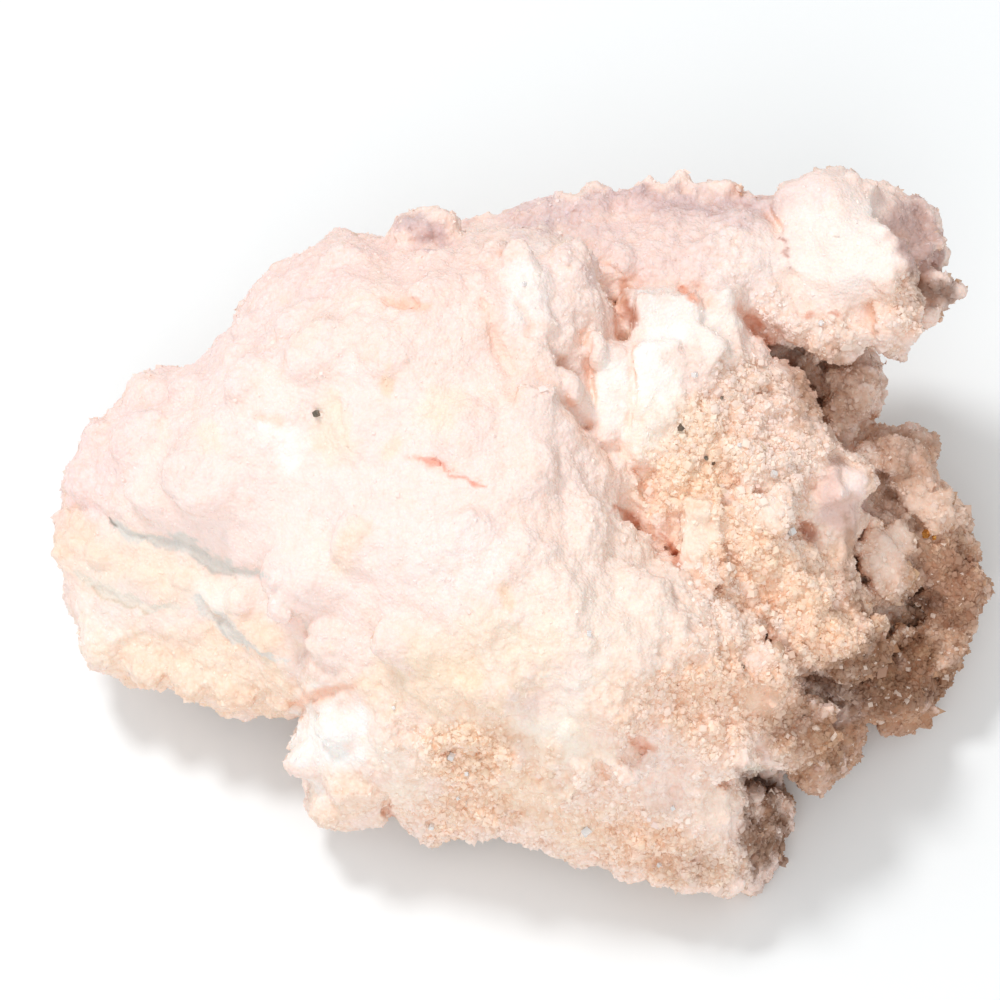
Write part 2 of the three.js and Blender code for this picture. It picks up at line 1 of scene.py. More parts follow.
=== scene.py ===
"""Kutnahorite specimen, looks. The CAD solid is the fixed frame; this script grows the fine surface in the same place:
the sculpted body, its druse of small rhombohedral crystals, and the grains set in it."""
import math
import time
import bpy
import numpy as np
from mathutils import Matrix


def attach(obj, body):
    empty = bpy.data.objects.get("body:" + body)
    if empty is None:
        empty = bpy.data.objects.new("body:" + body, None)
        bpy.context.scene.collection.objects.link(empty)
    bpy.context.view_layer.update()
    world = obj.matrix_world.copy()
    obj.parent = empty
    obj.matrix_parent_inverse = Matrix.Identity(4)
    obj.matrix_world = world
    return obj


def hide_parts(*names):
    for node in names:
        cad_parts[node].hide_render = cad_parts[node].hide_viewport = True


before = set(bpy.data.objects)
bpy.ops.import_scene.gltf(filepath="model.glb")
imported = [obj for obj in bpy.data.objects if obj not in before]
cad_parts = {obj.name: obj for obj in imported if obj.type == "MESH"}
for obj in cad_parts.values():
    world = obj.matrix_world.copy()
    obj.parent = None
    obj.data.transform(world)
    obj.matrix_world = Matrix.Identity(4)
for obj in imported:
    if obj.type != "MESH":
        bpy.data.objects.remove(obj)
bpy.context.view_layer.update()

# ---- the frame that the shape is laid out in: x across the face, y down it, w out of it; 1 unit = 0.11 mm ----
UNIT, TILT, DROP, TAPER = 0.11, math.radians(60.0), 236.0, 3600.0
CENTRE = (2.395, 1.339)
SIN, COS = math.sin(TILT), math.cos(TILT)


def to_world(P):
    """layout units to metres in the CAD frame"""
    s = 1 - P[:, 2] / TAPER
    u, v, w = (P[:, 0] - 500) * s, (500 - P[:, 1]) * s, P[:, 2]
    return np.stack([u * UNIT - CENTRE[0], (v * SIN - w * COS) * UNIT - CENTRE[1], (v * COS + w * SIN + DROP) * UNIT], 1) * 0.001


def to_layout(M):
    """metres to layout units"""
    Q = M * 1000.0
    u = (Q[:, 0] + CENTRE[0]) / UNIT
    a = (Q[:, 1] + CENTRE[1]) / UNIT
    b = Q[:, 2] / UNIT - DROP
    v, w = a * SIN + b * COS, -a * COS + b * SIN
    s = 1 - w / TAPER
    return np.stack([500 + u / s, 500 - v / s, w], 1)


def dir_to_layout(N):
    """directions in the CAD frame to the layout frame, without the slight taper"""
    return np.stack([N[:, 0], -(N[:, 1] * SIN + N[:, 2] * COS), -N[:, 1] * COS + N[:, 2] * SIN], 1)


def dir_to_world(N):
    return np.stack([N[:, 0], -N[:, 1] * SIN - N[:, 2] * COS, -N[:, 1] * COS + N[:, 2] * SIN], 1)


# ---- noise ----
def hash3(i, j, k, seed):
    n = (i.astype(np.int64) & 0xFFFFFFFF).astype(np.uint32) * np.uint32(0x8DA6B343)
    n ^= (j.astype(np.int64) & 0xFFFFFFFF).astype(np.uint32) * np.uint32(0xD8163841)
    n ^= (k.astype(np.int64) & 0xFFFFFFFF).astype(np.uint32) * np.uint32(0xCB1AB31F)
    n ^= np.uint32((seed * 0x9E3779B1) & 0xFFFFFFFF)
    n ^= n >> np.uint32(15)
    n *= np.uint32(0x2C1B3C6D)
    n ^= n >> np.uint32(12)
    n *= np.uint32(0x297A2D39)
    n ^= n >> np.uint32(15)
    return n


def gnoise(P, scale, seed):
    """smooth noise, about -1 to 1"""
    Q = P / scale
    I = np.floor(Q).astype(np.int64)
    f = (Q - I)
    u = f * f * f * (f * (f * 6 - 15) + 10)
    out = 0
    for a in (0, 1):
        wx = u[:, 0] if a else 1 - u[:, 0]
        for b in (0, 1):
            wy = u[:, 1] if b else 1 - u[:, 1]
            for c in (0, 1):
                wz = u[:, 2] if c else 1 - u[:, 2]
                h = hash3(I[:, 0] + a, I[:, 1] + b, I[:, 2] + c, seed)
                gx = (h & np.uint32(1023)) / 511.5 - 1
                gy = ((h >> np.uint32(10)) & np.uint32(1023)) / 511.5 - 1
                gz = ((h >> np.uint32(20)) & np.uint32(1023)) / 511.5 - 1
                out = out + wx * wy * wz * (gx * (f[:, 0] - a) + gy * (f[:, 1] - b) + gz * (f[:, 2] - c))
    return out * 1.6


def cells(P, scale, seed):
    """distances to the nearest and second nearest of jittered points, in units of scale, and the nearest one's id"""
    Q = P / scale
    I = np.floor(Q).astype(np.int64)
    d1 = np.full(len(P), 9.0)
    d2 = np.full(len(P), 9.0)
    idn = np.zeros(len(P), np.uint32)
    for a in (-1, 0, 1):
        for b in (-1, 0, 1):
            for c in (-1, 0, 1):
                J = I + np.array([a, b, c])
                h = hash3(J[:, 0], J[:, 1], J[:, 2], seed)
                px = J[:, 0] + (h & np.uint32(1023)) / 1023.0
                py = J[:, 1] + ((h >> np.uint32(10)) & np.uint32(1023)) / 1023.0
                pz = J[:, 2] + ((h >> np.uint32(20)) & np.uint32(1023)) / 1023.0
                d = np.sqrt((Q[:, 0] - px) ** 2 + (Q[:, 1] - py) ** 2 + (Q[:, 2] - pz) ** 2)
                n1 = d < d1
                d2 = np.where(n1, d1, np.minimum(d2, d))
                idn = np.where(n1, h, idn)
                d1 = np.where(n1, d, d1)
    return d1, d2, idn


def _turns(count):
    r = np.random.RandomState(5)
    out = []
    for _ in range(count):
        q, _r = np.linalg.qr(r.randn(3, 3))
        out.append(q)
    return np.array(out, np.float32)


TURNS = _turns(64)


def rhombs(P, scale, seed, blunt=0.35):
    """relief of blocks grown into each other: height, 0 in the gaps to 1 on the crests; width of the gap, 0 at a joint; block id"""
    Q = (P / scale).astype(np.float32)
    I = np.floor(Q).astype(np.int64)
    best = np.full(len(P), -9.0, np.float32)
    second = best.copy()
    idn = np.zeros(len(P), np.uint32)
    for a in (-1, 0, 1):
        for b in (-1, 0, 1):
            for c in (-1, 0, 1):
                J = I + np.array([a, b, c])
                h = hash3(J[:, 0], J[:, 1], J[:, 2], seed)
                dx = Q[:, 0] - J[:, 0] - (h & np.uint32(1023)) / np.float32(1023)
                dy = Q[:, 1] - J[:, 1] - ((h >> np.uint32(10)) & np.uint32(1023)) / np.float32(1023)
                dz = Q[:, 2] - J[:, 2] - ((h >> np.uint32(20)) & np.uint32(1023)) / np.float32(1023)
                r2 = dx * dx + dy * dy + dz * dz
                ok = r2 < 1.3
                i = np.nonzero(ok)[0]
                if not len(i):
                    continue
                dx, dy, dz, hh = dx[i], dy[i], dz[i], h[i]
                T = TURNS[(hh >> np.uint32(5)) & np.uint32(63)]
                d = np.abs(T[:, 0, 0] * dx + T[:, 0, 1] * dy + T[:, 0, 2] * dz)
                d = np.maximum(d, np.abs(T[:, 1, 0] * dx + T[:, 1, 1] * dy + T[:, 1, 2] * dz))
                d = np.maximum(d, np.abs(T[:, 2, 0] * dx + T[:, 2, 1] * dy + T[:, 2, 2] * dz))
                d = d * (1 - blunt) + np.sqrt(r2[i]) * blunt
                v = 1 - d * (1.15 + 0.5 * ((hh >> np.uint32(13)) & np.uint32(255)) / np.float32(255))
                m = v > best[i]
                second[i] = np.where(m, best[i], np.maximum(second[i], v))
                idn[i] = np.where(m, hh, idn[i])
                best[i] = np.where(m, v, best[i])
    return np.clip(best, 0, 1), np.clip(best - second, 0, 1), idn


def smooth(a, b, x):
    t = np.clip((x - a) / (b - a), 0, 1)
    return t * t * (3 - 2 * t)


# ---- the sculpt: signed distance on a grid, in layout units ----
def sheet_fit(pts):
    p = np.array(pts, float)
    n = len(p)
    x = p[:, :2] / 100.0
    d2 = ((x[:, None] - x[None]) ** 2).sum(-1)
    K = np.where(d2 > 0, 0.5 * d2 * np.log(np.maximum(d2, 1e-12)), 0)
    A = np.zeros((n + 3, n + 3))
    A[:n, :n] = K + 0.004 * np.eye(n)
    A[:n, n:] = np.c_[np.ones(n), x]
    A[n:, :n] = A[:n, n:].T
    return x, np.linalg.solve(A, np.r_[p[:, 2], 0, 0, 0])


def sheet_at(fit, X, Y):
    x, s = fit
    n = len(x)
    X = X / 100.0
    Y = Y / 100.0
    out = s[n] + s[n + 1] * X + s[n + 2] * Y
    for i in range(n):
        d2 = (X - x[i, 0]) ** 2 + (Y - x[i, 1]) ** 2
        out = out + s[i] * 0.5 * d2 * np.log(np.maximum(d2, 1e-12))
    return out


def outline_distance(poly, X, Y):
    p = np.array(poly, float)
    n = len(p)
    d = np.full(X.shape, 1e18)
    inside = np.zeros(X.shape, bool)
    for i in range(n):
        a, b = p[i], p[(i + 1) % n]
        ex, ey = b - a
        wx, wy = X - a[0], Y - a[1]
        t = np.clip((wx * ex + wy * ey) / (ex * ex + ey * ey + 1e-12), 0, 1)
        d = np.minimum(d, (wx - ex * t) ** 2 + (wy - ey * t) ** 2)
        c = ((a[1] <= Y) & (b[1] > Y)) | ((b[1] <= Y) & (a[1] > Y))
        xi = a[0] + (Y - a[1]) * (b[0] - a[0]) / (b[1] - a[1] if b[1] != a[1] else 1e-9)
        inside ^= c & (X < xi)
    d = np.sqrt(d)
    return np.where(inside, -d, d)


def join(a, b, k):
    h = np.clip(0.5 + 0.5 * (b - a) / k, 0, 1)
    return b + (a - b) * h - k * h * (1 - h)


def cut(a, b, k):
    return -join(-a, -b, k)


def path_distance(path, X, Y, W, deep=1.0):
    c = np.array(path, float)
    if len(c) == 1:
        c = np.vstack([c, c])
    d = None
    for i in range(len(c) - 1):
        a, b = c[i], c[i + 1]
        e = (b[:3] - a[:3]).copy()
        e[2] /= deep
        px, py, pw = X - a[0], Y - a[1], (W - a[2]) / deep
        t = np.clip((px * e[0] + py * e[1] + pw * e[2]) / (e @ e + 1e-9), 0, 1)
        q = np.sqrt((px - e[0] * t) ** 2 + (py - e[1] * t) ** 2 + (pw - e[2] * t) ** 2) - (a[3] + (b[3] - a[3]) * t)
        d = q if d is None else np.minimum(d, q)
    return d


class Grid:
    def __init__(s, lo, hi, h):
        s.lo = np.array(lo, float)
        s.h = h
        s.n = [int(math.ceil((hi[i] - lo[i]) / h)) + 1 for i in range(3)]
        s.x, s.y, s.w = (s.lo[i] + h * np.arange(s.n[i]) for i in range(3))
        s.f = np.full(s.n, 80.0, np.float32)

    def part(s, lo, hi):
        r = []
        for a, l, u in zip((s.x, s.y, s.w), lo, hi):
            r.append(slice(max(0, int(np.searchsorted(a, l)) - 1), min(len(a), int(np.searchsorted(a, u)) + 1)))
        return tuple(r)

    def at(s, P, f=None):
        """the distance at points, by straight-line interpolation in each cell"""
        f = s.f if f is None else f
        q = (P - s.lo) / s.h
        q = np.clip(q, 0, np.array(f.shape) - 1.001)
        i = q.astype(np.int64)
        t = q - i
        ny, nz = f.shape[1], f.shape[2]
        base = (i[:, 0] * ny + i[:, 1]) * nz + i[:, 2]
        F = f.ravel()
        out = 0
        for a in (0, 1):
            wa = t[:, 0] if a else 1 - t[:, 0]
            for b in (0, 1):
                wb = wa * (t[:, 1] if b else 1 - t[:, 1])
                for c in (0, 1):
                    out = out + wb * (t[:, 2] if c else 1 - t[:, 2]) * F[base + (a * ny + b) * nz + c]
        return out


# ---- the layout of the sculpt, in layout units ----
# plates: outline, points on the top and on the bottom surface, edge radius r, join radius k
PLATES = [
 dict(name="core", r=38, k=18,
  poly=[(80,540),(95,470),(150,400),(230,350),(300,265),(400,240),(500,225),(600,212),(700,208),(800,200),(880,215),(915,265),(880,330),(850,400),(880,450),(935,490),(955,560),(950,620),(920,690),(850,720),(790,770),(755,850),(660,860),(560,835),(450,820),(340,800),(310,740),(290,690),(180,670),(100,640)],
  top=[(90,540,-70),(150,420,-40),(300,300,0),(450,260,10),(600,240,0),(700,220,-10),(800,230,-20),(900,270,-60),(860,400,-95),(930,480,-105),(940,600,-115),(890,700,-110),(800,740,-60),(740,820,-10),(600,800,40),(450,780,40),(330,750,20),(200,640,-30),
       (300,500,40),(450,450,60),(600,500,60),(700,500,20),(780,480,-10),(600,320,10),(700,320,-10),(800,340,-60),(820,620,-10),(700,680,50)],
  bot=[(90,540,-95),(150,420,-120),(300,300,-130),(450,260,-120),(600,240,-120),(700,220,-120),(800,230,-110),(900,270,-130),(860,400,-190),(930,480,-170),(940,600,-170),(890,700,-150),(800,740,-110),(740,820,-60),(600,800,-60),(450,780,-70),(330,750,-70),(200,640,-110),
       (230,500,-190),(330,470,-262),(430,470,-322),(560,450,-338),(680,470,-312),(790,480,-235),(560,330,-318),(430,350,-262),(690,340,-270),(330,370,-205),(600,600,-238),(450,600,-226),(710,610,-205),(600,700,-146),(780,620,-185),(460,700,-140),(330,600,-165),(820,330,-190)]),
 dict(name="dome", r=20, k=14,
  poly=[(62,512),(67,495),(70,466),(90,443),(97,421),(121,411),(131,390),(148,375),(174,369),(204,348),(228,321),(242,300),(263,272),(288,254),(322,235),(350,230),(376,236),(410,240),(440,236),(466,227),(500,231),(546,229),(582,246),(597,262),(603,285),(612,300),(616,330),(606,346),(588,352),(560,356),(552,370),(562,396),(568,413),(582,431),(602,451),(618,470),(622,500),(628,518),(650,540),(674,556),(700,584),(730,598),(752,610),(770,634),(792,652),(800,680),(798,712),(824,738),(806,756),(765,762),(742,780),(700,800),(640,800),(560,800),(470,790),(400,770),(330,740),(310,700),(296,660),(316,636),(299,620),(278,600),(282,586),(268,574),(243,572),(225,571),(214,559),(199,549),(160,544),(136,543),(120,530),(105,518)],
  top=[(60,515,-48),(72,470,-44),(95,425,-46),(130,390,-42),(175,370,-38),(230,322,-36),(262,272,-34),(320,238,-20),(375,236,0),(430,238,24),(500,232,44),(560,236,66),(592,256,74),
       (110,495,6),(100,450,-8),(150,440,34),(200,405,58),(250,360,74),(300,310,76),(350,275,78),(420,285,112),(480,275,124),(540,285,128),(588,300,104),(606,330,84),
       (200,500,74),(300,440,122),(350,390,138),(400,440,162),(450,390,164),(500,345,146),(545,400,164),(575,430,150),(600,460,146),(618,500,142),
       (130,525,14),(200,545,48),(300,560,118),(400,550,184),(500,490,202),(560,495,186),(600,520,162),(650,560,150),
       (300,630,92),(400,640,166),(500,600,216),(580,600,212),(650,610,192),(700,620,172),(750,635,142),(785,655,112),
       (330,700,96),(450,700,166),(550,700,194),(620,680,198),(700,700,166),(760,700,128),(800,730,78),
       (360,760,70),(470,760,110),(560,780,120),(650,790,110),(740,770,90)],
  bot=[(60,515,-80),(150,440,-60),(300,440,-20),(300,300,-20),(500,250,-30),(590,260,-30),(600,340,-20),(600,450,30),(620,510,30),(700,590,40),(790,660,0),(800,740,-20),(500,600,40),(700,800,-20),(450,780,-20),(310,700,0),(200,550,-30),(280,590,10),(120,530,-60)]),
]
PLATES += [
 dict(name="ledge1", r=9, k=6,
  poly=[(53,530),(57,515),(66,506),(104,510),(130,520),(165,535),(210,545),(250,560),(300,585),(330,620),(320,650),(297,669),(276,656),(256,651),(242,642),(229,632),(222,617),(207,611),(196,599),(178,609),(150,604),(120,600),(98,592),(84,579),(72,577),(60,560)],
  top=[(56,530,-50),(66,510,-44),(80,560,-36),(100,545,-16),(130,590,-12),(150,560,12),(200,575,30),(250,600,54),(290,640,66),(190,600,20),(240,635,46),(320,620,80)],
  bot=[(56,530,-80),(320,620,20),(200,600,-60),(100,560,-80)]),
 dict(name="ledge2", r=12, k=7,
  poly=[(66,584),(74,575),(100,570),(160,580),(220,590),(300,620),(330,660),(326,690),(302,716),(280,720),(241,719),(226,709),(180,696),(150,688),(120,689),(104,680),(90,671),(80,650),(73,612)],
  top=[(70,590,-60),(90,600,-34),(120,610,-14),(160,618,2),(200,630,14),(240,650,30),(290,675,52),(320,660,70),(80,650,-62),(100,668,-58),(130,680,-58),(150,655,-24),(200,670,-6),(180,692,-50),(230,695,-14),(240,715,-48),(280,700,18),(285,718,-26),(310,700,30)],
  bot=[(70,590,-95),(150,640,-110),(300,640,-40),(240,715,-90),(120,685,-95)]),
 dict(name="lobe1", r=16, k=8,
  poly=[(283,747),(290,738),(294,730),(301,716),(318,702),(350,686),(400,690),(440,720),(436,770),(420,800),(398,820),(386,812),(376,826),(350,828),(325,825),(311,812),(307,790),(295,766)],
  top=[(286,746,4),(300,720,26),(330,705,66),(370,700,108),(420,720,132),(300,765,18),(330,760,62),(370,755,98),(420,760,112),(315,800,12),(350,800,44),(385,795,58),(330,822,0),(370,825,10),(405,805,50)],
  bot=[(286,746,-30),(350,760,-50),(420,720,-20),(350,825,-50)]),
 dict(name="lobe2", r=18, k=9,
  poly=[(396,770),(410,730),(440,705),(500,700),(540,730),(560,770),(546,815),(530,833),(518,838),(501,831),(470,842),(436,844),(412,834),(394,822),(390,800)],
  top=[(400,770,78),(430,740,128),(490,730,150),(540,750,138),(410,800,52),(450,785,96),(500,780,108),(545,790,104),(420,828,22),(450,835,30),(480,828,42),(510,820,52),(530,825,48)],
  bot=[(400,770,-30),(500,720,-20),(460,840,-50),(540,790,-40)]),
 dict(name="lobe3", r=14, k=9,
  poly=[(508,740),(560,720),(620,740),(640,790),(622,830),(612,856),(590,857),(560,852),(522,838),(505,820)],
  top=[(520,770,116),(570,750,150),(620,770,130),(530,810,78),(570,800,104),(615,810,92),(540,840,38),(580,838,60),(600,852,40)],
  bot=[(520,770,-30),(600,760,-20),(560,850,-30)]),
 dict(name="lobe4", r=9, k=7,
  poly=[(600,790),(625,750),(655,744),(682,762),(712,778),(738,786),(748,800),(742,830),(750,860),(752,882),(745,894),(722,900),(713,884),(700,882),(684,887),(652,881),(636,883),(616,878),(606,858)],
  top=[(610,800,106),(640,765,126),(680,775,112),(720,790,100),(640,810,104),(690,820,98),(725,815,92),(740,830,66),(620,850,62),(660,850,70),(700,850,76),(730,860,62),(620,872,34),(660,876,40),(700,876,44),(725,892,34),(745,880,34)],
  bot=[(610,800,-20),(700,780,-20),(660,880,-20),(740,880,-30)]),
 dict(name="lobe4side", r=14, k=8,
  poly=[(728,790),(760,786),(791,799),(789,830),(781,841),(785,860),(766,873),(748,893),(728,880)],
  top=[(730,800,60),(745,820,46),(770,810,14),(785,805,-12),(760,850,20),(780,852,-14),(745,885,16)],
  bot=[(730,800,-60),(785,830,-70),(745,885,-50)]),
 dict(name="B", r=12, k=8,
  poly=[(548,360),(560,347),(590,344),(606,340),(628,342),(634,332),(637,293),(665,289),(681,300),(700,304),(712,289),(722,285),(736,300),(741,318),(756,334),(775,354),(791,370),(801,386),(816,411),(832,440),(850,461),(866,470),(871,484),(860,505),(867,517),(852,540),(861,549),(848,566),(859,590),(868,618),(880,650),(877,668),(845,677),(806,672),(788,647),(768,624),(752,606),(728,594),(704,576),(680,554),(655,537),(638,516),(622,500),(614,470),(598,446),(578,426),(563,406)],
  top=[(555,360,112),(575,352,110),(610,350,106),(640,300,78),(680,312,82),(725,297,64),(745,330,60),(660,350,104),(700,350,100),(750,362,82),(790,380,52),(580,400,84),(604,438,78),(645,450,108),(700,430,110),(750,425,96),(800,425,74),(830,447,46),(640,500,94),(700,500,118),(750,500,112),(796,480,102),(822,492,72),(850,482,60),(866,486,40),(680,540,108),(740,560,118),(790,560,104),(826,540,60),(850,530,36),(858,550,24),(846,600,62),(800,620,108),(840,640,86),(872,650,46),(770,612,106),(850,670,48),(812,666,72)],
  bot=[(555,360,40),(640,300,20),(745,320,0),(800,420,-40),(866,486,-40),(850,560,-40),(870,650,-30),(810,665,-20),(700,560,0),(620,490,0)]),
 dict(name="rear", r=16, k=9,
  poly=[(384,246),(430,232),(470,222),(506,214),(526,204),(545,204),(559,198),(577,203),(591,195),(605,202),(626,197),(649,188),(662,191),(675,187),(700,192),(727,192),(745,200),(764,204),(785,230),(800,280),(806,330),(790,352),(768,352),(748,334),(735,310),(700,312),(640,310),(600,300),(560,270),(480,260)],
  top=[(400,250,-10),(450,232,-8),(510,216,-16),(560,206,-18),(600,214,-6),(650,198,-10),(700,200,-8),(760,208,0),(560,235,6),(620,250,30),(680,236,36),(740,236,36),(786,240,20),(640,285,44),(700,275,54),(760,285,36),(796,320,26),(770,340,10),(740,305,40)],
  bot=[(450,235,-50),(600,205,-60),(760,210,-60),(640,290,-40),(790,330,-50)]),
 dict(name="C", r=7, k=7,
  poly=[(772,206),(776,188),(782,181),(800,179),(806,172),(816,167),(832,172),(850,176),(866,184),(880,188),(894,199),(903,215),(912,240),(916,262),(916,300),(910,325),(900,338),(884,342),(868,332),(852,348),(838,366),(816,362),(803,346),(788,330),(776,300),(784,270),(786,240),(778,222)],
  top=[(775,205,16),(800,182,14),(820,172,10),(835,185,34),(820,210,34),(850,215,48),(885,245,60),(902,265,62),(880,290,66),(845,295,54),(810,282,40),(788,250,22),(862,190,14),(885,205,4),(905,230,0),(912,250,16),(912,290,36),(900,325,40),(885,320,52),(860,325,44),(836,345,34),(812,340,34),(790,315,24),(838,362,16)],
  bot=[(775,205,-50),(890,210,-60),(912,300,-30),(830,360,-40),(790,300,-50)]),
 dict(name="patch", r=5, k=3,
  poly=[(511,394),(515,386),(524,383),(548,388),(562,404),(578,428),(588,446),(566,462),(540,466),(518,456),(507,436),(506,412)],
  top=[(513,388,166),(550,390,168),(562,408,164),(584,444,158),(560,462,172),(510,440,186),(520,460,190),(508,412,180),(540,425,182)],
  bot=[(513,388,120),(580,440,120),(510,440,130)]),
]
# ellipsoids: name, x, y, w, rx, ry, rw, turn in degrees (clockwise in the picture), join radius
ELLS = [
 ("mound",424,240,-6, 44,30,26, -4, 6),
 ("rim1",110,448,-46, 30,32,30, 0, 8),
 ("rim2",92,484,-44, 30,34,30, 0, 8),
 ("rim3",156,394,-40, 30,22,26, -22, 8),
 ("white1",281,445,96, 24,26,26, 0, 9),
 ("bump1",376,432,128, 46,40,32, 10, 12),
 ("bump2",320,575,112, 60,40,34, 0, 16),
 ("bump3",240,475,68, 70,46,34, 10, 16),
 ("bump4",420,350,118, 56,44,34, 0, 16),
 ("bump5",440,560,168, 70,50,36, 0, 16),
 ("bump6",600,655,180, 70,44,34, 20, 16),
 ("whitelump",216,596,22, 22,18,18, 10, 5),
 ("lumpA",765,668,104, 30,30,32, 30, 6),
 ("lumpB",762,702,100, 22,17,24, 0, 3),
 ("lumpC",806,738,58, 26,22,28, 0, 7),
 ("lumpD",712,740,112, 46,34,38, 20, 14),
 ("lumpE",662,718,142, 42,32,34, 10, 14),
 ("lumpF",770,745,66, 26,20,28, 0, 6),
 ("lumpG",808,706,50, 18,16,22, 0, 6),
 ("ridgeF",858,484,42, 15,18,18, 0, 3),
 ("coneR3",886,562,-66, 32,54,46, 8, 8),
 ("R2",926,508,-84, 38,32,38, 20, 12),
 ("R2b",952,524,-98, 21,26,30, 20, 10),
 ("R4",930,558,-76, 32,26,32, 30, 8),
 ("R5",946,596,-112, 39,44,48, -10, 14),
 ("R6",926,664,-112, 28,36,42, 0, 12),
 ("R7",902,696,-98, 36,36,38, 0, 14),
 ("R8",843,730,-56, 24,32,40, 0, 10),
 ("R9",858,688,-80, 62,34,38, -10, 14),
 ("R10",810,766,-14, 33,24,38, 20, 12),
 ("R1",894,456,-94, 38,33,44, 40, 12),
 ("neck",850,392,-96, 32,56,60, 10, 16),
 ("Ctip",934,286,-42, 29,17,24, 18, 5),
 ("Clow2",898,346,-6, 15,13,20, -20, 6),
 ("Clow3",926,318,-20, 16,10,18, -20, 6),
 ("Cside",918,238,-44, 26,38,40, 0, 8),
 ("Cside2",932,252,-60, 12,20,26, 0, 6),
 ("Clobe",892,324,22, 26,20,28, 10, 5),
 ("grainA",716,558,112, 9,10,12, 0, 2),
 ("grainB",712,580,112, 8,9,12, 0, 2),
 ("pale1",700,528,106, 26,36,26, 0, 6),
 ("pale2",776,506,106, 16,26,16, 0, 5),
 ("tooth1",858,549,20, 9,5,9, -10, 2),
 ("knobL",640,420,98, 22,52,24, 4, 6),
]
# back and underside
ELLS += [
 ("b1",300,360,-150, 70,54,60, -20, 20),
 ("b2",430,300,-190, 80,52,64, 0, 20),
 ("b3",600,285,-225, 70,50,66, 10, 14),
 ("b4",720,300,-200, 74,56,70, -10, 22),
 ("b5",830,290,-120, 60,60,60, 20, 18),
 ("b6",800,400,-200, 70,60,66, 0, 20),
 ("b7",850,520,-158, 56,70,60, 0, 16),
 ("b8",190,480,-120, 80,50,50, 10, 18),
 ("b9",230,590,-110, 90,50,56, 0, 18),
 ("b10",810,632,-134, 64,54,50, 0, 20),
 ("b11",640,755,-62, 86,46,46, 0, 18),
 ("b12",430,742,-66, 74,44,48, 0, 18),
 ("b13",540,250,-110, 70,32,60, 0, 12),
 ("b14",700,240,-110, 90,34,60, 0, 12),
 ("b15",350,270,-70, 60,34,40, -10, 12),
]
# tapered rods: name, list of (x, y, w, radius), join radius
RODS = [
 ("band",[(516,250,118,12),(530,285,122,15),(546,325,132,14)],6),
 ("finger1",[(572,352,98,15),(580,392,92,13),(588,410,80,9)],3),
 ("finger2",[(611,364,92,19),(609,400,86,18),(606,432,78,12),(608,446,72,7)],3),
 ("finger3",[(656,364,88,24),(652,405,90,24),(646,450,86,22)],4),
 ("rough1",[(566,258,96,18),(580,300,92,18),(590,335,84,16)],8),
 ("rough2",[(600,300,76,12),(606,335,70,10)],5),
 ("finger0",[(536,352,140,16),(545,385,142,14)],5),
 ("shell1",[(662,762,104,9),(672,782,98,9),(664,800,92,8)],3),
 ("shell2",[(676,768,104,9),(692,790,98,8)],3),
 ("edgeR",[(874,618,40,10),(880,648,32,9)],4),
 ("ridgeLow",[(836,694,-40,9),(870,652,-50,9),(900,640,-64,10),(950,620,-84,12)],6),
]
# deep cuts: name, list of (x, y, w, radius), depth stretch, join radius
CUTS = [
]
# where the surface is calmer than elsewhere: x, y, rx, ry, remaining share of the roughness (front side only)
CALM = [(330,470,300,220,0.62),(838,236,84,86,0.30),(634,380,62,70,0.35),(180,560,130,50,0.55),(838,520,34,50,0.45),(530,300,26,50,0.45),(650,320,40,34,0.35),(700,320,44,36,0.45),(550,730,60,40,0.5),(340,740,50,40,0.6),(725,815,18,20,0.2),(762,702,20,16,0.2),(857,484,16,18,0.3),(540,425,34,40,0.5),(600,610,90,66,0.62),(600,690,44,32,0.5)]

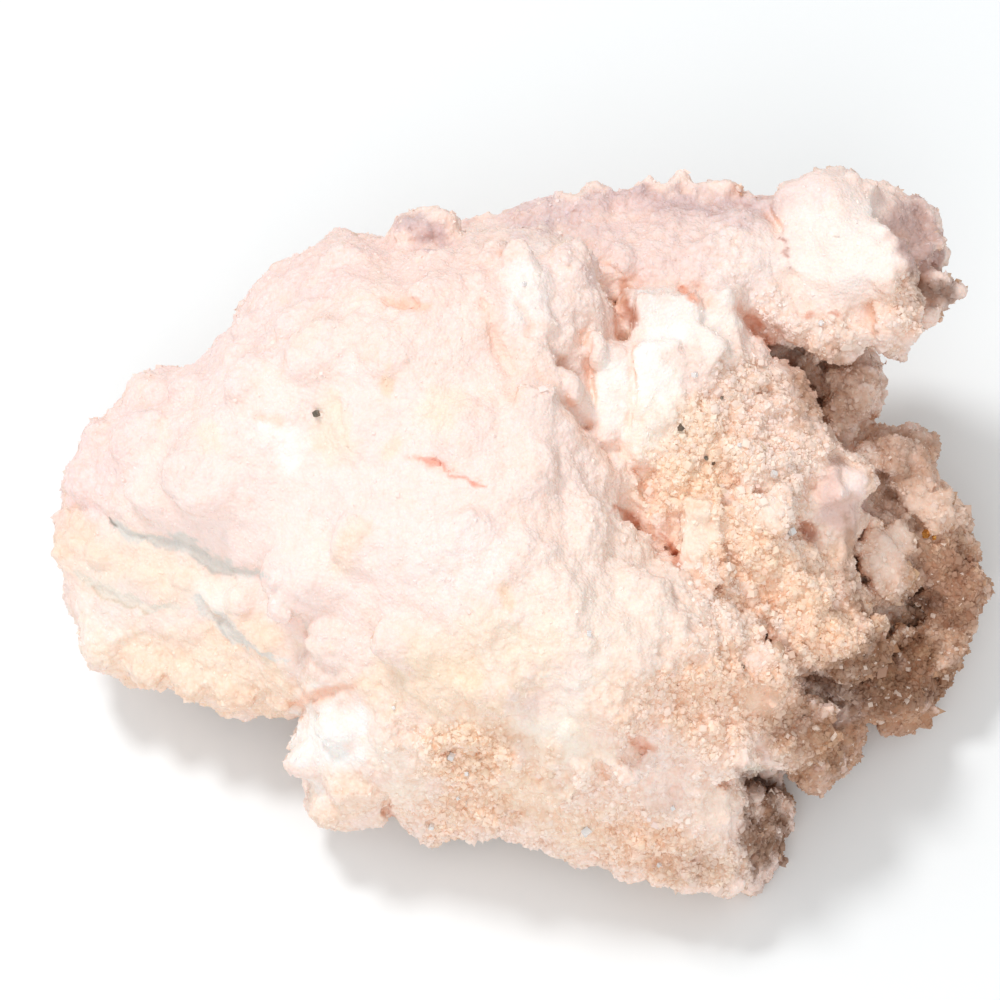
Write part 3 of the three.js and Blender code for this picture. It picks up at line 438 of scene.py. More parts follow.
# small features that sit on the surface, laid out on the face; heights are measured from the surface there
# lumps: x, y, lift, half sizes, turn, join radius
LUMPS = [
 # growth that fills the joint of dome and plate
 (580,402,8,22,13,16,61,8),(590,424,8,22,13,16,61,8),(603,444,8,22,13,16,61,8),(617,466,8,22,13,16,61,8),(629,488,6,20,12,14,61,7),(640,508,4,18,12,14,55,6),
 (654,530,6,20,12,14,40,7),(676,548,4,18,12,14,38,6),(694,564,6,22,13,14,36,7),(714,580,8,22,13,14,36,7),(736,594,8,22,13,14,36,7),(758,606,6,20,12,14,32,7),(714,592,4,18,12,14,36,6),(770,620,6,20,12,14,34,6),(786,636,6,18,12,14,34,6),(798,652,4,16,12,14,34,6),
 (424,238,-6,38,22,14,0,4),(427,226,-4,21,14,12,0,4),(408,232,-5,14,9,8,0,3),(446,230,-5,14,8,8,0,3),
 # lobes of the right rim
 (884,560,0,20,42,18,-20,5),(930,512,0,30,22,16,30,5),(955,588,0,24,34,18,-10,5),(925,655,0,34,24,18,-30,5),(880,706,0,38,18,16,-10,5),(905,620,2,18,16,14,0,4),
 (822,704,-3,22,16,18,0,6),(838,690,-4,16,14,16,0,6),(808,688,-3,14,12,14,0,6),(288,608,-5,16,13,11,0,6),(800,366,-2,14,16,16,-30,6),(818,392,-2,16,16,18,-30,6),
 (616,262,2,20,22,18,0,8),(628,304,14,13,18,16,0,6),(624,324,34,12,16,18,0,6),(569,386,30,14,20,18,-30,6),(607,434,18,15,13,15,0,6),(598,350,6,12,20,14,0,5),
 # dome
 (150,440,-12,40,30,20,-20,9),(205,480,-14,46,34,24,10,10),(165,503,-14,40,22,22,15,8),(330,350,-14,50,36,26,-20,10),(255,380,-12,36,26,22,-30,9),
 (370,540,-14,44,34,24,0,10),(470,540,-14,40,36,24,20,10),(420,640,-14,50,30,24,0,10),(520,560,-12,36,30,22,0,9),(560,600,-12,38,28,22,30,9),
 (640,600,-12,36,30,20,30,8),(690,640,-12,34,26,20,30,7),(600,700,-12,40,24,20,10,8),(500,690,-14,44,28,22,0,9),(470,440,-12,34,40,22,10,9),
 (530,480,-12,30,40,22,10,9),(580,530,-12,30,36,20,20,8),(340,640,-12,34,26,20,0,7),(390,350,-12,32,28,20,0,8),(440,300,-12,36,26,20,0,8),
 (300,320,-10,30,20,18,-30,7),(250,330,-8,22,16,14,-30,6),(345,262,-8,34,16,16,-5,6),(440,262,-8,32,16,16,0,6),(500,262,-8,20,22,14,0,5),
 (274,582,-4,9,7,8,0,3),(188,392,-8,22,16,14,-30,5),(240,352,-8,20,14,14,-30,5),
 # rim at the left
 (80,480,-10,14,26,16,5,5),(103,433,-10,16,16,14,0,5),(120,412,-8,16,10,12,-10,4),(152,386,-8,20,10,12,-15,4),(72,505,-6,10,10,10,0,4),
 # ledges
 (75,535,-8,16,20,14,0,5),(108,556,-8,24,15,14,10,5),(150,577,-8,24,13,14,8,5),(188,582,-6,18,13,14,0,4),(250,602,-8,24,18,16,20,5),(284,606,-6,14,18,14,0,5),
 (270,640,-6,20,14,14,30,4),(66,556,-6,10,14,10,0,4),
 (104,640,-10,22,30,20,0,6),(146,656,-10,22,32,20,0,6),(190,670,-10,24,30,20,0,6),(236,688,-10,24,26,20,10,6),(278,700,-8,20,18,16,0,5),
 # foot of the face
 (310,760,-8,22,22,18,0,6),(345,728,-8,28,24,20,0,7),(360,790,-8,26,18,18,0,6),(330,808,-6,18,14,14,0,5),(390,730,-8,24,26,18,0,7),
 (560,782,-10,30,24,20,0,7),(540,820,-8,20,14,14,0,5),(600,800,-8,26,20,18,0,6),(560,845,-6,16,10,12,0,4),(600,845,-6,14,10,12,0,4),
 (697,794,-6,15,13,13,0,3),(663,868,-6,13,13,13,0,3),(730,880,-6,18,14,14,0,4),(690,862,-6,12,12,12,0,3),(640,858,-6,14,12,12,0,3),
 (430,745,-8,20,20,16,0,5),(470,735,-8,22,16,16,0,5),(510,750,-8,18,18,16,0,5),(450,810,-8,22,18,16,0,5),(490,800,-8,18,20,16,0,5),(420,820,-6,14,12,12,0,4),
 # right plate and knob
 (790,590,-8,26,20,18,30,5),(835,642,-8,26,22,18,20,5),(855,618,-6,16,20,14,0,4),(815,600,-6,16,18,14,20,4),(840,596,-6,16,16,14,0,4),
 (760,560,-8,22,20,16,0,4),(730,520,-8,18,20,14,0,4),(690,560,-6,14,14,12,0,3),(700,420,-8,22,22,16,0,5),(740,460,-8,22,20,16,0,5),(690,470,-8,20,18,14,0,5),
 (780,410,-6,18,18,14,0,4),(810,440,-6,16,18,14,0,4),(760,380,-6,16,16,14,0,4),(662,520,-6,14,16,12,0,4),
 (836,352,-4,15,15,15,0,4),(800,328,-8,22,17,15,20,5),(768,290,-8,18,22,14,0,5),(893,322,-4,16,16,16,0,4),(912,300,-6,12,18,14,0,4),(903,268,-6,10,14,12,0,4),
 (870,190,-8,16,12,14,20,4),(895,205,-8,14,10,14,20,4),(850,176,-6,12,8,12,20,4),
]
# blocks, rounded rhombs: x, y, lift, half sizes, turn, lean, roll, edge radius, join radius
BLOCKS = [
 # fingers and blocks at the head of the right plate
 (610,386,-14,19,42,20,3,4,6,8,3),(661,386,-18,27,46,24,-5,5,4,11,3),(665,318,-16,33,26,25,7,-4,6,4,2),(723,316,-14,19,25,22,-12,0,-14,6,3),
 (532,402,-12,20,19,18,10,6,8,5,3),(700,352,-14,24,20,20,30,6,-14,6,4),
 # knob face
 (840,250,-26,58,38,14,24,1.4,-20,4,5),
 # facets on the right plate
 (822,495,-10,22,15,14,-30,10,-20,2,3),(836,536,-12,19,30,16,14,6,-24,3,3),(777,506,-8,13,24,14,8,0,-10,4,3),(701,526,-10,20,32,16,4,4,-4,5,4),
 # lumps beside the hole at the foot
 (766,664,-8,21,16,16,20,10,-14,3,2),(765,698,-8,19,12,14,5,8,-12,2,2),(712,730,-5,13,8,9,-12,10,-10,1.5,2),(757,771,4,13,5,9,-20,0,10,1.5,2),
 (721,809,-8,10,18,12,3,4,-6,2,2),(585,829,-2,9,6,7,-15,12,0,1,1.5),(618,757,-10,34,17,14,32,14,-8,4,4),(784,735,-6,13,15,12,10,0,-20,2,2),
 # right rim
 (905,488,-2,12,12,12,20,0,-20,3,2),(922,484,0,9,10,10,50,10,0,2,2),(936,502,-2,13,11,12,10,0,-24,3,2),(952,514,-1,10,10,10,40,20,0,2,2),
 (916,514,-2,14,12,12,-10,0,-10,3,3),(940,534,-2,12,12,12,30,0,-20,3,2),(962,540,-2,10,14,12,0,0,-30,3,2),(884,580,-4,16,22,14,10,0,-20,3,4),
 (898,540,-4,15,16,14,-20,0,-10,3,3),(955,590,-4,16,14,14,20,0,-20,3,3),(940,640,-4,15,15,14,40,0,-20,3,3),(915,668,-4,15,13,14,10,0,-20,3,3),
 (885,700,-4,18,12,14,0,0,-10,3,3),(862,690,-4,14,12,14,30,0,-10,3,3),(905,712,-2,12,10,12,30,0,-10,3,2),(870,455,-4,18,14,14,40,0,-20,3,3),(893,452,-4,14,14,14,10,0,-20,3,3),
 # teeth along the upper rim
 (548,211,-3,10.08,9.6,9,30,20,0,1.5,4),(561,206,-2,10.08,11,10,12,40,20,1.5,4),(577,207,-3,10.08,9.6,9,50,10,20,1.5,2),(592,198,-2,10.08,13.2,10,38,30,0,1.5,2),(608,205,-3,10.08,10.8,9,10,30,10,1.5,2),
 (626,201,-3,11.2,10.8,10,70,20,20,1.5,2),(646,192,-2,12.32,12,10,40,30,10,1.5,2),(661,195,-3,10.08,10.8,9,15,20,30,1.5,2),(677,190,-2,11.2,12,10,55,30,0,1.5,2),(694,196,-3,11.2,10.8,10,25,20,20,1.5,2),
 (711,197,-3,10.08,9.6,9,60,20,0,1.5,2),(727,196,-2,12.32,10.8,10,35,30,20,1.5,2),(745,202,-3,11.2,9.6,10,5,30,10,1.5,2),(762,208,-4,10,9,10,45,20,0,1.5,4),(520,222,-3,9,8,9,20,30,0,1.5,2),(535,216,-3,9,8,9,60,20,10,1.5,2),
 (428,216,-4,9,7,8,20,20,0,1.5,3),(410,224,-4,8,6,8,40,10,0,1.5,3),(446,224,-4,8,6,8,10,20,0,1.5,3),
]
# flat facets: x, y, drop, direction it faces, radius, edge radius
CHOPS = [
 (836,250,5,-0.26,-0.08,1,74,2),(900,222,5,0.62,-0.42,1,34,1.5),(846,292,4,-0.05,0.62,1,26,2),(800,214,3,-0.42,-0.52,1,22,2),
 (300,760,2,-0.3,0.3,1,20,2),(655,728,2,0.1,0.1,1,14,2),(590,752,3,-0.05,0.35,1,22,2),(720,812,2,0.15,0.1,1,16,1),(838,540,3,0.4,0.1,1,24,1.5),(820,494,2,0.2,-0.2,1,16,1.5),
 (276,446,2,-0.1,-0.1,1,16,2),(880,566,3,0.35,0.15,1,22,2),
]
# grooves: path of x, y, drop of the centre below the surface, radius; depth stretch; join radius
GROOVES = [
 # dome
 ([(410,459,1.5,0.8),(420,460,1.5,1.3),(430,463,2,1.8),(440,464,2,1.7),(449,470,1.5,0.8)],2.0,2),
 ([(452,476,1,0.8),(462,477,1.5,1.2),(474,483,1.5,1.2),(484,486,1,0.8)],1.6,2),
 ([(387,300,3,4),(404,303,4,7),(424,308,3,4)],1.0,5),
 ([(262,415,2,3),(276,419,2,3)],1.0,3),
 ([(481,300,2,4),(488,318,2,4.5),(494,340,2.5,5),(504,358,2.5,5.5),(512,372,2.5,5.5),(513,392,2,4)],1.1,6),
 ([(519,303,0.6,1.2),(527,316,1,1.6),(530,328,1,1.6),(526,338,0.6,1.2)],1.5,3),
 ([(225,345,1,2),(240,338,1.5,3),(252,326,1.5,3),(262,306,1.5,3),(276,296,1.5,3),(290,290,1.5,3),(310,279,1,2)],1.0,3),
 ([(330,318,1,2),(345,310,1.5,3),(360,304,1.5,3),(376,301,1,3)],1.0,3),
 ([(335,404,1,2),(341,430,1.5,3),(351,450,1.5,3),(376,471,1,2)],1.0,3),
 ([(300,620,0.8,2),(316,636,1.5,3.5),(342,646,1,2.5),(380,665,1,2.5),(402,673,1,1.5)],1.5,2),
 ([(378,688,1,1.5),(390,698,1.5,2),(402,711,1,1.5)],1.5,2),
 ([(298,702,1,3),(320,696,2,5),(348,686,1,2)],1.0,4),
 ([(297,640,1,2),(296,670,1.5,2.5),(296,700,1,2)],1.5,3),
 # under the lips at the left
 ([(108,519,2.6,2.4),(116,528,1.4,3.4),(130,537,1.2,4.2),(148,539,1.2,3.4),(163,541,1.2,4.4),(178,543,1.2,3.6),(192,549,1.4,4.8),(206,558,1.4,5.0),(218,566,1.2,3.8),(232,571,0.8,2.6),(250,573,0.6,2)],1.0,3),
 ([(76,574,0.6,2.4),(90,586,1.0,3.6),(105,595,1.2,4.0),(121,601,1.2,3.4),(143,605,0.9,3),(162,607,0.6,2.4)],1.0,4),
 ([(194,598,0.8,2.4),(206,611,1.2,3.6),(218,619,1.2,4.2),(230,630,1.2,4.0),(242,641,1.0,3),(259,652,0.6,2)],1.0,3),
 # along the joint of the dome and the right plate
 ([(619,510,2,3),(628,516,3,3.6),(636,522,2,2.6)],2.0,3),
 ([(662,536,1,1.5),(669,546,2,2.6),(676,556,2,3.2),(682,564,1,2)],1.8,3),
 ([(690,570,0.5,1.5),(704,580,1,1.5),(720,592,1,1.8),(748,604,1,2),(756,614,1.5,2),(770,624,1.5,2.5)],1.2,4),
 
 ([(724,548,1,2),(726,566,1.5,2),(722,590,1.5,2)],1.5,2),
 # right plate
 ([(683,289,2,2.5),(690,295,2,3),(699,301,1.5,2)],2.2,2),
 ([(632,348,1,2),(634,370,2,2.5),(632,400,2,3),(626,430,2,3)],1.6,2),
 ([(590,346,1,2),(589,370,2,2.5),(594,400,2,3),(602,432,2,3)],1.6,2),
 ([(800,530,5,5),(814,538,5,6)],2.5,4),
 ([(755,498,1,2.5),(764,512,2,3),(769,530,1,2)],1.5,3),
 ([(706,452,1,3),(724,466,2,4),(734,488,1,3)],1.2,4),
 ([(652,500,1,2),(664,480,2,3),(676,460,1,3)],1.2,3),
 ([(716,396,1,3),(742,404,2,5),(756,420,2,4)],1.0,5),
 ([(803,672,2,3),(818,684,3,4.4),(830,694,2,3.6)],1.6,4),
 # knob
 ([(781,237,1,1.3),(783,243,1,1.3)],1.6,1.5),([(785,249,1,1.6),(786,255,1,1.6)],1.6,1.5),([(788,262,1,1.2),(789,265,1,1.2)],1.6,1.5),
 ([(808,318,1.5,3)],1.5,2),([(838,312,1,2.5)],1.0,2),
 ([(744,312,2,3),(752,322,3,4.5),(758,332,3,4),(768,342,3,3),(784,358,3,3),(798,374,3,3.6),(812,394,3.5,4.4),(826,408,3.5,4),(842,428,3,3)],1.8,4),
 ([(866,304,1,2),(871,316,2,3.5),(874,330,2,4)],1.6,3),
 # foot of the face
 ([(627,734,1.5,1.5),(636,741,2,2.4),(646,747,2,2.6),(654,753,1.5,1.6)],1.8,3),
 ([(656,754,1,1.5),(682,766,1,1.6),(712,781,1,1.8)],1.3,3),
 ([(731,800,1,2),(735,835,1.5,2.5),(745,868,1,2)],1.5,2),
 ([(654,764,0.5,1.5),(657,780,1,2),(654,800,0.5,1.5)],1.0,2),
 ([(672,764,0.5,1.5),(675,782,1,2),(668,804,1,2)],1.2,2),
 ([(745,686,1,2),(766,684,1.5,2.5),(784,690,1.5,2.5)],1.5,2),
 ([(745,714,1,2),(766,714,1.5,2.5),(784,716,1,2.5)],1.5,2),
 ([(742,774,5,6),(756,782,8,10),(770,792,8,9)],2.0,4),
 ([(389,802,3,3),(388,818,4,5)],2.0,3),
 ([(462,756,1,2.5),(478,754,1,2.5)],1.5,3),
 ([(497,806,1,3),(490,822,1,3)],1.5,3),
 ([(96,424,1,2),(112,434,1.5,3),(126,455,1,2)],1.2,3),
 ([(74,508,1,2),(98,510,1.5,3),(117,488,1,2)],1.2,3),
 ([(548,226,1,1.5),(562,234,1.5,2),(582,246,2,2.5),(596,262,2,2.5),(614,270,2,2.5)],1.5,2),
 ([(912,600,8,7),(932,602,8,6)],1.8,4),
 ([(847,522,1,2.5),(850,545,2,3.6),(847,575,2,3.6),(853,600,1.5,3)],1.5,4),
 ([(884,478,1,3),(890,494,2,4.6),(898,508,2,5),(910,522,2,4),(924,542,1,3)],1.5,4),
]


def turned(turn, lean, roll):
    """a rotation: turned on the face, then leaning about its own x and y; the columns are its axes"""
    a, b, c = (math.radians(v) for v in (turn, lean, roll))
    Z = np.array([[math.cos(a), -math.sin(a), 0], [math.sin(a), math.cos(a), 0], [0, 0, 1]])
    X = np.array([[1, 0, 0], [0, math.cos(b), -math.sin(b)], [0, math.sin(b), math.cos(b)]])
    Y = np.array([[math.cos(c), 0, math.sin(c)], [0, 1, 0], [-math.sin(c), 0, math.cos(c)]])
    return Z @ X @ Y


def face_height(g):
    """how far out the face stands, over the layout"""
    inside = g.f < 0
    n = inside.shape[2]
    top = n - 1 - np.argmax(inside[:, :, ::-1], axis=2)
    i, j = np.indices(top.shape)
    f0, f1 = g.f[i, j, top], g.f[i, j, np.minimum(top + 1, n - 1)]
    t = np.clip(f0 / np.where(f0 - f1 == 0, 1, f0 - f1), 0, 1)
    return np.where(inside.any(axis=2), g.w[0] + g.h * (top + t), np.nan)


def height_at(g, top, x, y):
    i, j = int(round((x - g.lo[0]) / g.h)), int(round((y - g.lo[1]) / g.h))
    for r in (1, 3, 6):
        a = top[max(0, i - r):i + r + 1, max(0, j - r):j + r + 1]
        if np.isfinite(a).any():
            return float(np.nanmedian(a)) if r == 1 else float(np.nanmax(a))
    return -60.0


def sculpt(h, lo=(30, 140, -400), hi=(1010, 925, 250)):
    g = Grid(lo, hi, h)
    for P in PLATES:
        poly = np.array(P['poly'], float)
        r, k = P['r'], P['k']
        m = k + 3 * h + 30
        sl = g.part((poly[:, 0].min() - m, poly[:, 1].min() - m, -1e9), (poly[:, 0].max() + m, poly[:, 1].max() + m, 1e9))
        X, Y = np.meshgrid(g.x[sl[0]], g.y[sl[1]], indexing='ij')
        top = sheet_at(sheet_fit(P['top']), X, Y)
        bot = np.minimum(sheet_at(sheet_fit(P['bot']), X, Y), top - 2 * r - 2)
        gx, gy = np.gradient(top, h)
        bx, by = np.gradient(bot, h)
        W = g.w[None, None, :]
        b = np.maximum((W - top[..., None]) / np.sqrt(1 + gx * gx + gy * gy)[..., None], (bot[..., None] - W) / np.sqrt(1 + bx * bx + by * by)[..., None])
        a = np.broadcast_to(outline_distance(poly, X, Y)[..., None], b.shape)
        d = np.sqrt(np.maximum(a + r, 0) ** 2 + np.maximum(b + r, 0) ** 2) - r + np.minimum(np.maximum(a + r, b + r), 0)
        g.f[sl[0], sl[1], :] = join(g.f[sl[0], sl[1], :], d, k)
    for nm, x, y, w, rx, ry, rw, ang, k in ELLS:
        R = max(rx, ry) + k + 24
        sl = g.part((x - R, y - R, w - rw - k - 24), (x + R, y + R, w + rw + k + 24))
        X, Y, W = np.meshgrid(g.x[sl[0]], g.y[sl[1]], g.w[sl[2]], indexing='ij')
        c, s_ = math.cos(math.radians(ang)), math.sin(math.radians(ang))
        u, v, q = (X - x) * c + (Y - y) * s_, -(X - x) * s_ + (Y - y) * c, W - w
        k0 = np.sqrt((u / rx) ** 2 + (v / ry) ** 2 + (q / rw) ** 2)
        k1 = np.sqrt((u / rx ** 2) ** 2 + (v / ry ** 2) ** 2 + (q / rw ** 2) ** 2) + 1e-9
        g.f[sl] = join(g.f[sl], k0 * (k0 - 1) / k1, k)
    for nm, ch, k in RODS:
        c = np.array(ch, float)
        R = c[:, 3].max() + k + 20
        sl = g.part(c[:, :3].min(0) - R, c[:, :3].max(0) + R)
        X, Y, W = np.meshgrid(g.x[sl[0]], g.y[sl[1]], g.w[sl[2]], indexing='ij')
        g.f[sl] = join(g.f[sl], path_distance(ch, X, Y, W), k)
    top = face_height(g)
    for x, y, lift, rx, ry, rw, turn, k in LUMPS:
        w = height_at(g, top, x, y) + lift
        R = max(rx, ry) + k + 10
        sl = g.part((x - R, y - R, w - rw - k - 10), (x + R, y + R, w + rw + k + 10))
        X, Y, W = np.meshgrid(g.x[sl[0]], g.y[sl[1]], g.w[sl[2]], indexing='ij')
        c, s_ = math.cos(math.radians(turn)), math.sin(math.radians(turn))
        u, v, q = (X - x) * c + (Y - y) * s_, -(X - x) * s_ + (Y - y) * c, W - w
        k0 = np.sqrt((u / rx) ** 2 + (v / ry) ** 2 + (q / rw) ** 2)
        k1 = np.sqrt((u / rx ** 2) ** 2 + (v / ry ** 2) ** 2 + (q / rw ** 2) ** 2) + 1e-9
        g.f[sl] = join(g.f[sl], k0 * (k0 - 1) / k1, k)
    for x, y, lift, hx, hy, hw, turn, lean, roll, r, k in BLOCKS:
        w = height_at(g, top, x, y) + lift
        R = math.sqrt(hx * hx + hy * hy + hw * hw) + k + 6
        sl = g.part((x - R, y - R, w - R), (x + R, y + R, w + R))
        X, Y, W = np.meshgrid(g.x[sl[0]] - x, g.y[sl[1]] - y, g.w[sl[2]] - w, indexing='ij')
        M = turned(turn, lean, roll)
        q = [np.abs(X * M[0, i] + Y * M[1, i] + W * M[2, i]) - b + r for i, b in enumerate((hx, hy, hw))]
        d = np.sqrt(sum(np.maximum(v, 0) ** 2 for v in q)) + np.minimum(np.maximum(np.maximum(q[0], q[1]), q[2]), 0) - r
        g.f[sl] = join(g.f[sl], d, k)
    top = face_height(g)
    for x, y, drop, nx, ny, nw, R, k in CHOPS:
        w = height_at(g, top, x, y) - drop
        n = np.array([nx, ny, nw], float)
        n /= np.linalg.norm(n)
        m = R * 2.2
        sl = g.part((x - m, y - m, w - m), (x + m, y + m, w + m))
        X, Y, W = np.meshgrid(g.x[sl[0]] - x, g.y[sl[1]] - y, g.w[sl[2]] - w, indexing='ij')
        d = X * n[0] + Y * n[1] + W * n[2] - np.maximum(np.sqrt(X * X + Y * Y + W * W) - R, 0) * 1.3
        g.f[sl] = cut(g.f[sl], d, k)
    top = face_height(g)
    for path, deep, k in GROOVES:
        c = np.array([(x, y, height_at(g, top, x, y) - drop, r) for x, y, drop, r in path], float)
        R = c[:, 3].max() + k + 8
        lo_, hi_ = c[:, :3].min(0) - R, c[:, :3].max(0) + R
        lo_[2] -= R * (deep - 1)
        hi_[2] += R * (deep - 1)
        sl = g.part(lo_, hi_)
        X, Y, W = np.meshgrid(g.x[sl[0]], g.y[sl[1]], g.w[sl[2]], indexing='ij')
        g.f[sl] = cut(g.f[sl], -path_distance(c, X, Y, W, deep), k)
    for nm, ch, deep, k in CUTS:
        c = np.array(ch, float)
        R = c[:, 3].max() + k + 8
        lo_, hi_ = c[:, :3].min(0) - R, c[:, :3].max(0) + R
        lo_[2] -= R * (deep - 1)
        hi_[2] += R * (deep - 1)
        sl = g.part(lo_, hi_)
        X, Y, W = np.meshgrid(g.x[sl[0]], g.y[sl[1]], g.w[sl[2]], indexing='ij')
        g.f[sl] = cut(g.f[sl], -path_distance(ch, X, Y, W, deep), k)
    return g


def calm(P):
    """1 where growth is rough, less where the surface is smooth"""
    a = np.ones(len(P))
    for x, y, rx, ry, k in CALM:
        q = ((P[:, 0] - x) / rx) ** 2 + ((P[:, 1] - y) / ry) ** 2
        m = np.clip(1.35 - q, 0, 1)
        m = m * m * (3 - 2 * m) * (P[:, 2] > -40)
        a *= 1 - (1 - k) * m
    return a


def roughen(g):
    """uneven growth: the field is looked up at shifted places near the surface, and swells"""
    f = g.f.copy()
    near = np.abs(f) < 30
    I = np.argwhere(near)
    P = g.lo + g.h * I
    a = calm(P)
    back = np.clip((-40 - P[:, 2]) / 60, 0, 1)
    w = np.stack([gnoise(P, 46, 11), gnoise(P, 46, 12), gnoise(P, 46, 13)], 1) * (7 + 2 * back)[:, None]
    w += np.stack([gnoise(P, 20, 14), gnoise(P, 20, 15), gnoise(P, 20, 16)], 1) * 2.0
    w *= a[:, None]
    val = g.at(P + w)
    r1 = 1 - np.abs(gnoise(P, 64, 31)) * 2.2
    dis = (gnoise(P, 70, 21) * 5 + gnoise(P, 30, 22) * 2.4 + gnoise(P, 14, 23) * 1.0) * a - back * ((r1 - 0.5) * 4 + gnoise(P, 110, 32) * 9)
    open_ = smooth(520, 720, P[:, 0] + 0.55 * (P[:, 1] - 500))
    dis = dis - ((rhombs(P, 58, 52)[0] - 0.35) * (5.0 + 5.0 * open_ + 12.0 * back) + (rhombs(P, 28, 51)[0] - 0.35) * (5.5 + 7.5 * open_ + 6.0 * back)) * (0.08 + 0.92 * a)
    q = np.clip(1.25 - np.abs(f[near]) / 24, 0, 1)
    f[near] = f[near] + (val - f[near] + dis) * q
    # no thin tip above the knob
    X, Y = np.meshgrid(g.x - 820, g.y - 158, indexing='ij')
    return np.maximum(f, (9.0 - np.sqrt(X * X + Y * Y))[:, :, None])


def rest_cut(g, f):
    """the worn flat that the specimen rests on"""
    X, Y, W = np.meshgrid(g.x, g.y, g.w, indexing='ij', sparse=True)
    z = (500 - Y) * (1 - W / TAPER) * COS + W * SIN
    return np.maximum(f, (-DROP - z) + 0 * X).astype(np.float32)


def surface_nets(f, lo, h):
    """closed quad mesh of the surface where f is 0"""
    s = f < 0
    nx, ny, nz = f.shape
    c = [s[a:nx - 1 + a, b:ny - 1 + b, d:nz - 1 + d] for a in (0, 1) for b in (0, 1) for d in (0, 1)]
    act = np.logical_or.reduce(c) & ~np.logical_and.reduce(c)
    ci = np.argwhere(act)
    idx = np.full(act.shape, -1, np.int64)
    idx[act] = np.arange(len(ci))
    acc = np.zeros((len(ci), 3))
    cnt = np.zeros(len(ci))
    off = [(a, b, d) for a in (0, 1) for b in (0, 1) for d in (0, 1)]
    for p in range(8):
        for q in range(p + 1, 8):
            A, B = off[p], off[q]
            if sum(abs(A[k] - B[k]) for k in range(3)) != 1:
                continue
            fa = f[ci[:, 0] + A[0], ci[:, 1] + A[1], ci[:, 2] + A[2]]
            fb = f[ci[:, 0] + B[0], ci[:, 1] + B[1], ci[:, 2] + B[2]]
            m = (fa < 0) != (fb < 0)
            t = np.where(m, fa / np.where(m, fa - fb, 1), 0)
            for k in range(3):
                acc[:, k] += np.where(m, A[k] + (B[k] - A[k]) * t, 0)
            cnt += m
    V = np.array(lo) + h * (ci + acc / cnt[:, None])
    F = []
    for ax in range(3):
        s0, s1 = [slice(None)] * 3, [slice(None)] * 3
        s0[ax], s1[ax] = slice(0, -1), slice(1, None)
        E = np.argwhere(s[tuple(s0)] != s[tuple(s1)])
        o1, o2 = [k for k in range(3) if k != ax]
        E = E[(E[:, o1] > 0) & (E[:, o2] > 0) & (E[:, o1] < f.shape[o1] - 1) & (E[:, o2] < f.shape[o2] - 1)]

        def ix(d1, d2):
            q = E.copy()
            q[:, o1] -= d1
            q[:, o2] -= d2
            return idx[q[:, 0], q[:, 1], q[:, 2]]
        quad = np.stack([ix(0, 0), ix(1, 0), ix(1, 1), ix(0, 1)], 1)
        inside = s[E[:, 0], E[:, 1], E[:, 2]]
        flip = inside if ax != 1 else ~inside
        F.append(np.where(flip[:, None], quad, quad[:, ::-1]))
    return V, np.vstack(F)[:, ::-1]


def refine(V, F, fine):
    """each quad in fine is split into four; its neighbours take the new points on their shared edges. Returns points and a list of polygons as flat corners and sizes, and which polygons are fine"""
    n = len(V)
    E = np.stack([F, np.roll(F, -1, axis=1)], 2)
    E.sort(axis=2)
    key = E[..., 0].astype(np.int64) * n + E[..., 1]
    kf = key[fine]
    uniq, inv = np.unique(kf, return_inverse=True)
    inv = inv.reshape(kf.shape)
    mid = (V[uniq // n] + V[uniq % n]) / 2
    cen = V[F[fine]].mean(1)
    m0, c0 = n, n + len(uniq)
    Ff = F[fine]
    m = m0 + inv
    c = c0 + np.arange(len(Ff))
    small = np.stack([np.stack([Ff[:, k], m[:, k], c, m[:, k - 1]], 1) for k in range(4)], 1).reshape(-1, 4)
    Fc, kc = F[~fine], key[~fine]
    pos = np.clip(np.searchsorted(uniq, kc), 0, len(uniq) - 1)
    has = uniq[pos] == kc
    corners = np.stack([Fc, np.where(has, m0 + pos, -1)], 2).reshape(len(Fc), 8)
    keep = corners >= 0
    sizes = np.concatenate([np.full(len(small), 4), keep.sum(1)])
    flat = np.concatenate([small.ravel(), corners[keep]])
    parents = np.concatenate([np.repeat(np.nonzero(fine)[0], 4), np.nonzero(~fine)[0]])
    return np.vstack([V, mid, cen]), flat, sizes, parents, np.stack([uniq // n, uniq % n], 1), Ff


